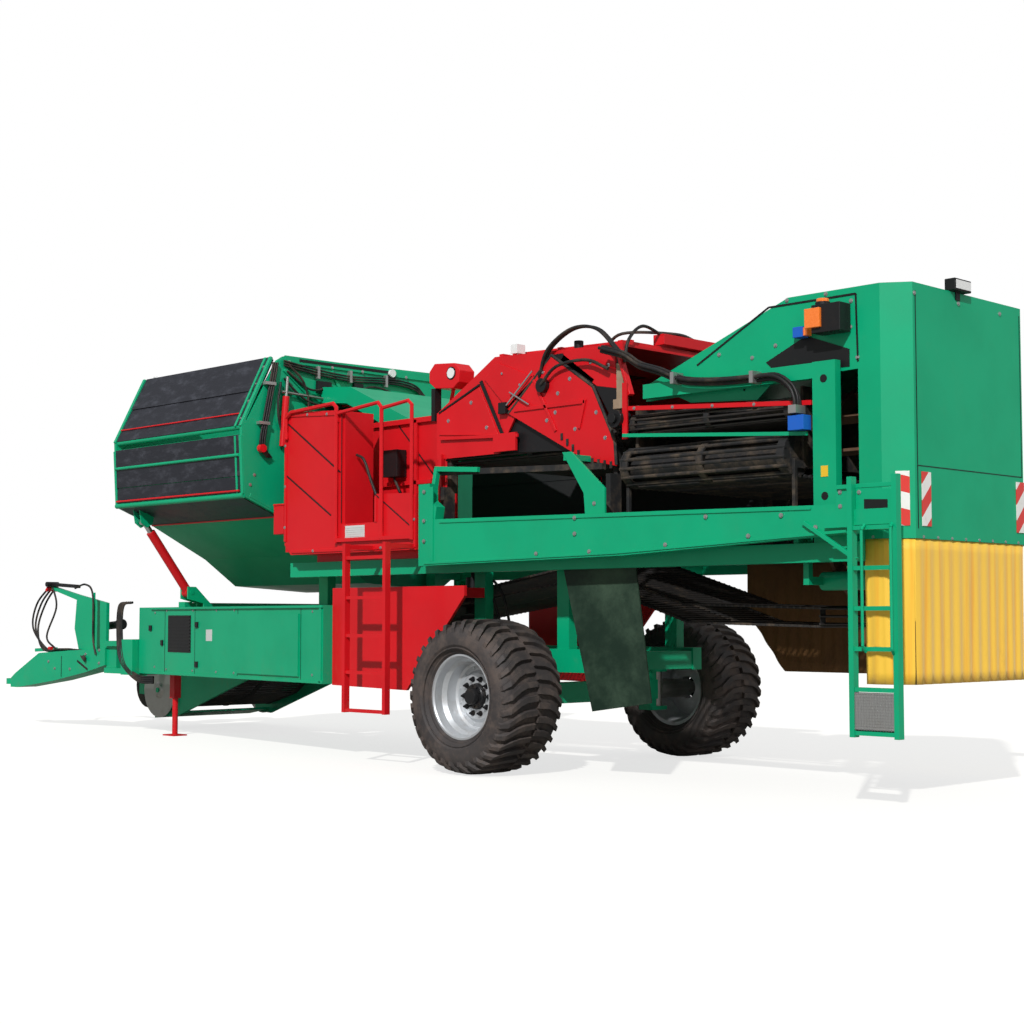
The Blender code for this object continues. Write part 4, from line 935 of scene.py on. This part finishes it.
platformTrim = {
    "platform_lines": dict(look="black",
        bars=[(0.004, 0.014, (2.84, 1.342, 3.23), (2.0, 1.342, 2.69)),
            (0.004, 0.014, (2.84, 1.342, 2.71), (2.14, 1.342, 2.29)),
            (0.004, 0.01, (1.5, 1.342, 2.46), (0.93, 1.342, 2.1)),
            (0.004, 0.012, (1.85, 0.773, 3.19), (1.25, 0.773, 2.59)),
            (0.004, 0.008, (1.982, 1.343, 2.21), (1.982, 1.343, 3.27))]),
    "platform_edges": dict(look="red", bevel=0.003,
        bars=[(0.016, 0.034, (2.845, 1.343, 3.3), (2.0, 1.343, 3.25)),
            (0.016, 0.034, (2.845, 1.343, 2.06), (2.845, 1.343, 3.31)),
            (0.016, 0.03, (2.74, 1.343, 1.96), (0.94, 1.343, 1.96)),
            (0.016, 0.03, (0.94, 1.343, 1.95), (0.94, 1.343, 2.42)),
            (0.016, 0.03, (1.48, 1.343, 2.2), (1.48, 1.343, 2.44))]),
    "platform_grip": dict(look="pale", boxes=[((1.64, 1.341, 2.05), (1.92, 1.346, 2.18))],
        bars=[(0.006, 0.004, (1.65, 1.347, 2.06 + 0.02 * n), (1.91, 1.347, 2.06 + 0.02 * n))
            for n in range(6)]),
    "platform_inner": dict(look="red", bevel=0.003,
        bars=[(0.03, 0.05, (1.05, 0.79, 3.19), (2.28, 0.79, 3.19)),
            (0.03, 0.04, (1.05, 0.79, 2.6), (2.28, 0.79, 2.6)),
            (0.03, 0.04, (1.55, 0.79, 2.02), (1.55, 0.79, 3.2))]),
    "platform_boxes": dict(look="black", bevel=0.004,
        boxes=[((1.7, 0.78, 2.66), (1.9, 0.9, 2.92)), ((1.15, 0.78, 2.28), (1.4, 0.92, 2.46))]),
    "platform_bolts": dict(look="grey",
        bolts=[((0, 1, 0), 0.01, 0.009,
            [(x, 1.351, z)
                for x, z in ((2.845, 2.2), (2.845, 2.6), (2.845, 3.0), (2.5, 3.28), (2.2, 3.26),
                    (2.4, 1.96), (1.9, 1.96), (1.4, 1.96), (1.1, 1.96), (0.94, 2.2))])]),
    "red_tub": dict(look="red", bevel=0.006, boxes=[((2.89, 1.04, 2.14), (3.05, 1.335, 2.42))],
        bars=[(0.3, 0.02, (2.885, 1.19, 2.43), (3.055, 1.19, 2.43))]),
    "lamp_box": dict(look="red", bevel=0.008,
        plates=[("XZ",
            [(1.1, 3.48), (1.1, 3.58), (1.03, 3.65), (0.76, 3.63), (0.69, 3.56), (0.7, 3.45), (0.78, 3.4),
                (1.02, 3.42)], 0.84, 1.03)], bars=[(0.03, 0.03, (0.97, 0.9, 3.2), (0.9, 0.9, 3.45))]),
    "lamp_box_lens": dict(look="white", rods=[(0.048, (0.8, 1.028, 3.54), (0.8, 1.04, 3.54))]),
    "lamp_box_rim": dict(look="black", rods=[(0.06, (0.8, 1.024, 3.54), (0.8, 1.034, 3.54))],
        boxes=[((1.02, 0.95, 3.12), (1.07, 1.03, 3.42))])}

deflectorEdge = [(0.02, 3.10), (-0.50, 3.555), (-0.98, 3.24), (-1.22, 2.77), (-1.235, 2.57)]
toothLine = [(-1.20, 2.575), (-0.90, 2.635), (-0.62, 2.86)]
hoodTrim = {
    "hood_front_plates": dict(look="red", bevel=0.003,
        plates=[("XZ", [(0.93, 3.17), (0.4, 3.37), (0.15, 2.92), (0.93, 2.98)], 1.051, 1.062),
            ("XZ", [(0.33, 3.43), (0.17, 3.565), (-0.32, 3.38), (-0.05, 3.06)], 1.051, 1.066),
            ("XZ", [(-0.6, 3.5), (-0.66, 3.575), (-1.22, 3.55), (-1.24, 3.2), (-1.02, 3.24)], 1.051,
                1.06)]),
    # black lines in the gaps between the hood plates, and a black plate behind the deflector on each side:
    # painted shade cast by the rolls
    "hood_gaps_and_shade_plates": dict(look="black",
        bars=[(0.02, 0.03, (0.38, 1.056, 3.42), (0.07, 1.056, 2.86)),
            (0.018, 0.016, (0.93, 1.056, 3.18), (0.4, 1.056, 3.39)),
            (0.016, 0.02, (0.08, 1.058, 3.12), (-0.36, 1.058, 3.42)),
            (0.012, 0.012, (-0.6, 1.058, 3.5), (-1.0, 1.058, 3.22)),
            (0.014, 0.016, (-1.25, 1.056, 3.18), (-1.25, 1.056, 3.54))],
        plates=[("XZ",
            [(0.12, 2.86), (-0.05, 3.12), (-0.3, 3.12), (-0.92, 2.98), (-0.92, 2.72), (0.0, 2.76)], 1.012,
            1.02),
            ("XZ", [(0.12, 2.86), (-0.05, 3.12), (-0.3, 3.12), (-0.92, 2.98), (-0.92, 2.72), (0.0, 2.76)],
                -1.02, -1.012)]),
    "deflector_edges": dict(look="rubber", slot="flap_rubber",
        rods=[(0.014, *[(x, 1.063, z) for x, z in deflectorEdge])],
        boxes=[((a[0] + (b[0] - a[0]) * t - 0.012, 1.069, a[1] + (b[1] - a[1]) * t - 0.035),
            (a[0] + (b[0] - a[0]) * t + 0.012, 1.079, a[1] + (b[1] - a[1]) * t + 0.022))
            for a, b in zip(toothLine, toothLine[1:]) for t in (0.05, 0.28, 0.51, 0.74, 0.97)]),
    "deflector_frame": dict(look="red", bevel=0.002,
        bars=[(0.014, 0.03, (-0.06, 1.078, 3.12), (-0.9, 1.078, 3.12)),
            (0.014, 0.026, (-0.9, 1.078, 3.14), (-0.83, 1.078, 2.9)),
            (0.014, 0.026, (-0.3, 1.078, 3.36), (-0.56, 1.078, 2.9))]),
    "deflector_rods": dict(look="chrome",
        rods=[(0.008, (-0.3, 1.095, 3.44), (0.02, 1.095, 3.17)),
            (0.008, (-0.02, 1.095, 3.28), (-0.26, 1.095, 3.15))],
        bolts=[((0, 1, 0), 0.012, 0.012,
            [(x, 1.07, z)
                for x, z in ((-0.58, 3.22), (-0.55, 3.06), (-0.78, 2.9), (-0.45, 3.0), (-1.02, 3.02),
                    (-1.12, 2.8), (-0.4, 3.42), (-0.72, 3.33))] + [(x, 1.062, z)
                for x, z in ((0.8, 3.1), (0.5, 3.24), (0.3, 3.0), (0.1, 3.46), (-0.12, 3.34), (-0.95, 3.45),
                    (-1.15, 3.4))])]),
    "hood_lamp": dict(look="white", boxes=[((-0.05, 0.93, 3.63), (0.03, 1.03, 3.71))],
        rods=[(0.012, (-0.01, 0.98, 3.58), (-0.01, 0.98, 3.64))]),
    "hood_caps": dict(look="black", bevel=0.003,
        rods=[(0.04, (-0.74, 0.98, 3.57), (-0.74, 0.98, 3.66)),
            (0.03, (-1.02, 0.7, 3.56), (-1.02, 0.7, 3.66)),
            (0.062, (-0.42, 1.02, 3.3), (-0.42, 1.12, 3.3))],
        boxes=[((-0.62, 0.3, 3.58), (-0.46, 0.62, 3.66)), ((-1.2, -0.35, 3.56), (-1.05, 0.1, 3.63)),
            ((0.03, 1.05, 3.1), (0.12, 1.1, 3.2)), ((-0.05, -0.75, 3.59), (0.12, -0.4, 3.66))]),
    "hood_roof_frame": dict(look="red", bevel=0.003,
        bars=[(0.05, 0.05, (x, -1.02, 3.62 - 0.02 * n), (x, 1.02, 3.62 - 0.02 * n))
            for n, x in enumerate((0.16, -0.55, -1.24))] + [(0.04, 0.04, (0.16, y, 3.645),
            (-1.24, y, 3.605)) for y in (0.86, 0.0, -0.86)] + [
            (0.12, 0.09, (-1.26, 0.55, 3.66), (-1.26, -0.15, 3.66)),
            (0.05, 0.03, (-1.29, 1.09, 3.5), (-1.45, 1.12, 3.12))]),
    "soiled_parts": dict(look="soil", bevel=0.004,
        boxes=[((-1.34, 1.055, 3.1), (-1.27, 1.1, 3.4)), ((-1.37, 1.06, 3.02), (-1.25, 1.12, 3.1))]),
    # a near-black sheet along the right side above the frame: painted shade of the machine's inside
    "right_upper_shade_sheet": dict(look="shade_sheet", boxes=[((-1.28, -1.197, 2.735), (2.87, -1.19, 3.02))],
        bars=[(0.02, 0.03, (-1.28, -1.185, 3.02), (2.87, -1.185, 3.02))]),
    "hood_shade_plates": dict(look="black", bevel=0.002,
        plates=[("XZ", [(-0.99, 3.25), (-1.23, 3.42), (-1.24, 2.86)], 1.052, 1.058),
            ("XZ", [(-0.5, 3.56), (-0.62, 3.56), (-0.99, 3.3), (-0.96, 3.26)], 1.052, 1.06)]),
    "web_side_boxes": dict(look="red", bevel=0.003, boxes=[((-0.08, 1.055, 2.77), (0.2, 1.085, 2.93))],
        bars=[(0.02, 0.03, (0.9, 1.07, 2.945), (-0.1, 1.07, 2.9))]),
    "web_side_channel": dict(look="rubber", bars=[(0.05, 0.05, (0.88, 1.12, 2.63), (-1.15, 1.12, 2.56))]),
    "front_green_bar": dict(look="green", bevel=0.003,
        bars=[(0.04, 0.045, (0.86, 1.16, 2.66), (0.3, 1.16, 2.62)),
            (0.04, 0.05, (0.84, 1.24, 2.22), (0.84, 1.16, 2.66))],
        plates=[("XZ",
            [(-0.86, 2.68), (-0.96, 2.68), (-1.33, 2.36), (-1.33, 2.1), (-1.12, 2.1), (-1.1, 2.33)], 1.29,
            1.315)], boxes=[((-0.96, 1.06, 2.61), (-0.87, 1.31, 2.66))])}

cabinet = {"start": (2.12, 1.44), "along": (0.98983, -0.14216), "out": (0.14216, 0.98983)}


def onFace(s, out, z):
    # a place on the cabinet's outer face, s metres from its rear edge
    (x, y), (ax, ay), (ox, oy) = cabinet["start"], cabinet["along"], cabinet["out"]
    return x + ax * s + ox * out, y + ay * s + oy * out, z


def faceBar(s0, s1, z0, z1, proud):
    # the plan outline and levels of a plate that lies on the cabinet's face
    return ("XY",
        [onFace(s, out, 0)[:2] for s, out in ((s0, -0.002), (s1, -0.002), (s1, proud), (s0, proud))], z0,
        z1)


cabinetTrim = {
    "cabinet_grille": dict(look="black",
        plates=[faceBar(2.8, 3.36, 0.95, 1.35, 0.004)] + [faceBar(2.82, 3.34, z / 1000, z / 1000 + 0.012,
            0.012) for z in range(970, 1340, 36)]),
    "cabinet_seams": dict(look="black",
        plates=[faceBar(3.44, 3.447, 0.72, 1.43, 0.002), faceBar(2.7, 2.706, 0.72, 1.43, 0.002),
            faceBar(1.72, 1.727, 0.72, 1.43, 0.002), faceBar(0.42, 0.427, 0.72, 1.43, 0.002)]),
    "cabinet_latches": dict(look="black", bevel=0.002,
        plates=[faceBar(2.62, 2.68, 1.22, 1.28, 0.018), faceBar(2.62, 2.68, 0.8, 0.86, 0.018),
            faceBar(3.48, 3.53, 1.02, 1.08, 0.016), faceBar(3.78, 3.84, 1.18, 1.24, 0.016)]),
    "cabinet_ledges": dict(look="green", bevel=0.003,
        plates=[faceBar(0.0, 3.78, 1.415, 1.438, 0.022), faceBar(0.0, 3.78, 0.702, 0.73, 0.016),
            faceBar(0.02, 0.06, 0.71, 1.43, 0.016)]),
    "cabinet_bolts": dict(look="grey",
        bolts=[((0.142, 0.99, 0), 0.009, 0.008,
            [onFace(s, 0.0, z)
                for s, z in ((3.4, 1.4), (3.4, 0.76), (2.75, 1.4), (2.75, 0.76), (1.8, 1.4), (1.8, 0.76),
                    (0.2, 1.38), (0.2, 0.78), (3.7, 1.38), (3.7, 0.78), (2.2, 0.76), (2.2, 1.4))])]),
    "cabinet_plate": dict(look="pale", plates=[faceBar(2.3, 2.44, 1.08, 1.2, 0.002)])}
doorTrim = {
    "door_handle": dict(look="pale", bevel=0.002, plates=[faceBar(1.02, 1.07, 0.99, 1.17, 0.012)]),
    "door_frame": dict(look="green", bevel=0.002,
        plates=[faceBar(0.48, 1.66, 1.3, 1.318, 0.01), faceBar(0.48, 1.66, 0.79, 0.808, 0.01),
            faceBar(0.48, 0.498, 0.79, 1.318, 0.01), faceBar(1.642, 1.66, 0.79, 1.318, 0.01)]),
    "door_lock": dict(look="black", plates=[faceBar(1.034, 1.056, 1.1, 1.15, 0.016)])}

drawbarTrim = {
    "drawbar_slots": dict(look="black",
        bars=[(0.004, 0.01, (7.8, 0.911, 0.87), (7.8, 0.911, 0.62)),
            (0.004, 0.024, (7.44, 0.911, 0.82), (7.2, 0.911, 0.72))]),
    "drawbar_plates": dict(look="green", bevel=0.003,
        bars=[(0.02, 0.05, (7.1, 0.905, 1.02), (7.1, 0.905, 1.62)),
            (0.02, 0.04, (8.1, 0.8, 0.95), (8.62, 0.8, 0.93))]),
    "hose_arm": dict(look="black", bars=[(0.05, 0.04, (7.62, 0.8, 1.7), (8.24, 0.8, 1.735))],
        rods=[(0.03, (8.24, 0.72, 1.735), (8.24, 0.88, 1.735))]),
    "hose_caps": dict(look="red",
        rods=[(0.02, (8.26, 0.72 + 0.04 * n, 1.7), (8.3, 0.72 + 0.04 * n, 1.66)) for n in range(4)] + [
            (0.02, (8.06, 0.93, 0.96), (8.0, 0.93, 0.96))]),
    "drawbar_bolts": dict(look="grey",
        bolts=[((0, 1, 0), 0.012, 0.012,
            [(x, 0.911, z)
                for x, z in ((6.95, 0.8), (6.95, 0.95), (7.6, 0.72), (7.95, 0.72), (8.1, 0.8),
                    (7.25, 0.9))])]),
    "drive_shaft": dict(look="black",
        rods=[(0.046, (6.98, 0.6, 1.25), (7.46, 0.6, 1.22)),
            (0.062, (6.96, 0.6, 1.25), (7.04, 0.6, 1.247))])}

ladderTrim = {
    "ladder_handrails": dict(look="green",
        rods=[(0.011, (-3.86, 1.43, 1.96), (-3.86, 1.47, 1.92), (-3.86, 1.47, 1.12), (-3.86, 1.43, 1.08)),
            (0.011, (-4.08, 1.43, 1.96), (-4.1, 1.48, 1.93), (-4.1, 1.48, 1.1), (-4.08, 1.43, 1.07))]),
    "ladder_brackets": dict(look="green", bevel=0.003,
        plates=[("XZ", [(-3.76, 2.22), (-4.1, 2.2), (-4.1, 1.95), (-3.76, 1.97)], 1.372, 1.384),
            ("XZ", [(-3.58, 2.24), (-3.74, 2.24), (-3.8, 2.02), (-3.74, 1.98), (-3.58, 2.08)], 1.352,
                1.366)],
        bars=[(0.03, 0.03, (-3.6, 1.37, 2.235), (-4.09, 1.37, 2.235)),
            (0.03, 0.03, (-3.76, 1.38, 1.72), (-3.3, 1.36, 2.0))]),
    "ladder_slot": dict(look="black",
        plates=[("XZ", [(-3.83, 2.14), (-4.02, 2.13), (-4.02, 2.06), (-3.83, 2.07)], 1.382, 1.387)]),
    "ladder_mesh": dict(look="grey",
        bars=[(0.004, 0.004, (-3.76, 1.43, 0.55 + 0.02 * n), (-4.08, 1.43, 0.55 + 0.02 * n))
            for n in range(13)] + [(0.004, 0.004, (-3.77 - 0.022 * n, 1.43, 0.54),
            (-3.77 - 0.022 * n, 1.43, 0.8)) for n in range(15)],
        boxes=[((-4.08, 1.425, 0.545), (-3.76, 1.428, 0.8))]),
    "ladder_bolts": dict(look="grey",
        bolts=[((0, 1, 0), 0.011, 0.01,
            [(x, 1.386, z) for x, z in ((-3.79, 2.19), (-4.07, 2.18), (-4.07, 1.98), (-3.79, 2.0))] + [
                (-3.62, 1.368, 2.2), (-3.62, 1.368, 2.1)])]),
    "beam_strip": dict(look="green", bevel=0.002,
        bars=[(0.012, 0.022, (0.8, 1.354, 1.805), (-1.5, 1.354, 1.835)),
            (0.012, 0.022, (-1.5, 1.354, 1.835), (-3.66, 1.354, 1.925)),
            (0.012, 0.022, (0.6, 1.354, 2.165), (-3.36, 1.354, 2.1)),
            (0.012, 0.04, (0.7, 1.354, 1.82), (0.7, 1.354, 2.48))]),
    "beam_bolts": dict(look="grey",
        bolts=[((0, 1, 0), 0.012, 0.011,
            [(x, 1.358, z)
                for x, z in ((0.8, 2.18), (0.8, 2.0), (-1.04, 2.13), (-1.04, 2.0), (-0.6, 1.85),
                    (-1.2, 1.85), (-2.0, 1.88), (-2.8, 1.92), (-3.4, 1.96), (-2.4, 2.08), (-3.1, 2.06),
                    (0.8, 2.44))] + [(-1.22, 1.317, 2.24), (-1.22, 1.317, 2.14)])]),
    "accumulators": dict(look="black", bevel=0.004,
        rods=[(0.07, (1.12, 0.45, 1.36), (1.12, 0.45, 1.7)), (0.07, (0.95, 0.45, 1.34), (0.95, 0.45, 1.68)),
            (0.02, (1.12, 0.45, 1.68), (1.12, 0.45, 1.75)), (0.02, (0.95, 0.45, 1.66), (0.95, 0.45, 1.73))],
        boxes=[((0.86, 0.36, 1.3), (1.2, 0.54, 1.345))])}


def makeTrim():
    groups = [(platformTrim, "chassis"), (hoodTrim, "chassis"), (cabinetTrim, "chassis"),
        (doorTrim, "cabinet_door"), (drawbarTrim, "drawbar"), (ladderTrim, "chassis")]
    for group, body in groups:
        for name, parts in group.items():
            buildPiece(name, body, **parts)
    hosePiece("platform_hoses",
        [[(1.93, 1.2, 2.86), (1.8, 1.22, 2.8), (1.72, 1.2, 2.6), (1.62, 1.18, 2.38)],
            [(1.9, 0.84, 2.8), (1.6, 0.86, 2.4), (1.35, 0.84, 2.4)]], 0.014, "chassis")
    hosePiece("hood_hoses",
        [[(-0.36, 1.04 + d, 3.38), (-0.5, 1.08 + d, 3.6), (-0.8, 1.1 + d, 3.74), (-1.1, 1.12 + d, 3.7),
            (-1.34, 1.15 + d, 3.5), (-1.45, 1.19 + d, 3.42)] for d in (0, 0.034)] + [
            [(-0.42, 1.12, 3.3), (-0.62, 1.13, 3.44), (-0.95, 1.12, 3.46), (-1.2, 1.12, 3.36)],
            [(-0.6, 0.5, 3.64), (-0.85, 0.55, 3.76), (-1.15, 0.2, 3.76), (-1.26, 0.05, 3.7)],
            [(-1.1, -0.1, 3.62), (-0.9, -0.35, 3.72), (-0.6, -0.6, 3.7), (0.05, -0.6, 3.66)],
            [(-1.26, 0.5, 3.7), (-1.3, 0.8, 3.74), (-1.34, 1.02, 3.6), (-1.36, 1.1, 3.4)]], 0.014,
        "chassis")
    hosePiece("drawbar_hoses",
        [[(8.26, 0.72 + 0.04 * n, 1.73), (8.5 + 0.05 * n, 0.74 + 0.03 * n, 1.5),
            (8.6 + 0.06 * n, 0.78, 1.2), (8.36 - 0.05 * n, 0.84, 0.945),
            (7.95, 0.8 + 0.03 * n, 0.93 + 0.01 * n), (7.56, 0.8 + 0.03 * n, 0.94),
            (7.22, 0.94, 0.86 - 0.02 * n)] for n in range(3)] + [
            [(8.22, 0.8, 1.7), (8.1, 0.82, 1.45), (8.28, 0.84, 1.1), (8.1, 0.82, 0.95)],
            [(7.7, 0.8, 1.68), (7.4, 0.84, 1.72), (7.1, 0.92, 1.6), (7.06, 0.93, 1.1), (7.0, 0.93, 0.9)]],
        0.012, "drawbar")
    hosePiece("cabinet_hoses",
        [[(6.3 + 0.04 * n, 0.88, 1.5), (6.42 + 0.03 * n, 0.93, 1.45), (6.44 + 0.03 * n, 0.93, 1.1),
            (6.36 + 0.03 * n, 0.93, 0.82), (6.12, 0.92, 0.68 - 0.02 * n), (5.9, 0.85, 0.66 - 0.02 * n)]
            for n in range(4)], 0.014, "chassis")
    hosePiece("frame_hoses",
        [[(1.12, 0.45, 1.74), (1.0, 0.6, 1.78), (0.7, 0.66, 1.6), (0.55, 0.66, 1.3), (0.52, 0.64, 1.08)],
            [(0.95, 0.45, 1.72), (0.8, 0.62, 1.75), (0.5, 0.68, 1.55), (0.4, 0.66, 1.2),
                (0.38, 0.64, 1.08)]], 0.013, "chassis")
    print("trim")


carried = {"main_frame": "green", "axle_beam": "green", "left_side_beam": "green",
    "right_side_beam": "green", "elevator_cowl": "green", "valve_post": "green", "feed_web": "green",
    "cabinet": "green", "cabinet_door": "green", "bunker": "green", "drawbar": "green",
    "digger_frame": "green", "rear_ladder": "green", "platform": "red", "platform_rail": "red",
    "front_ladder": "red", "front_hood": "red", "side_deflector": "red", "left_fender": "red",
    "right_fender": "red", "parking_jack": "red", "lift_cylinder": "red", "steer_cylinder": "red",
    "left_knuckle": "steel", "right_knuckle": "steel", "left_disc": "steel", "right_disc": "steel",
    "lift_cylinder_rod": "chrome", "steer_cylinder_rod": "chrome", "ring_elevator": "brown",
    "left_ridge_roller": "rubber", "right_ridge_roller": "rubber", "left_flap": "flap",
    # the right skirt takes the near-black finish: painted shade of the machine's inside
    "right_skirt": "shade_sheet"}


def dressNodes():
    for name, look in carried.items():
        mesh = nodes[name].data
        mesh.materials.clear()
        mesh.materials.append(finishes[look])


makeStage()
makeFinishes()
dressNodes()
print("finishes")
makeWheels()
makeWebs()
makeBunker()
makeCurtain()
makeCowlTrim()
makeTrim()
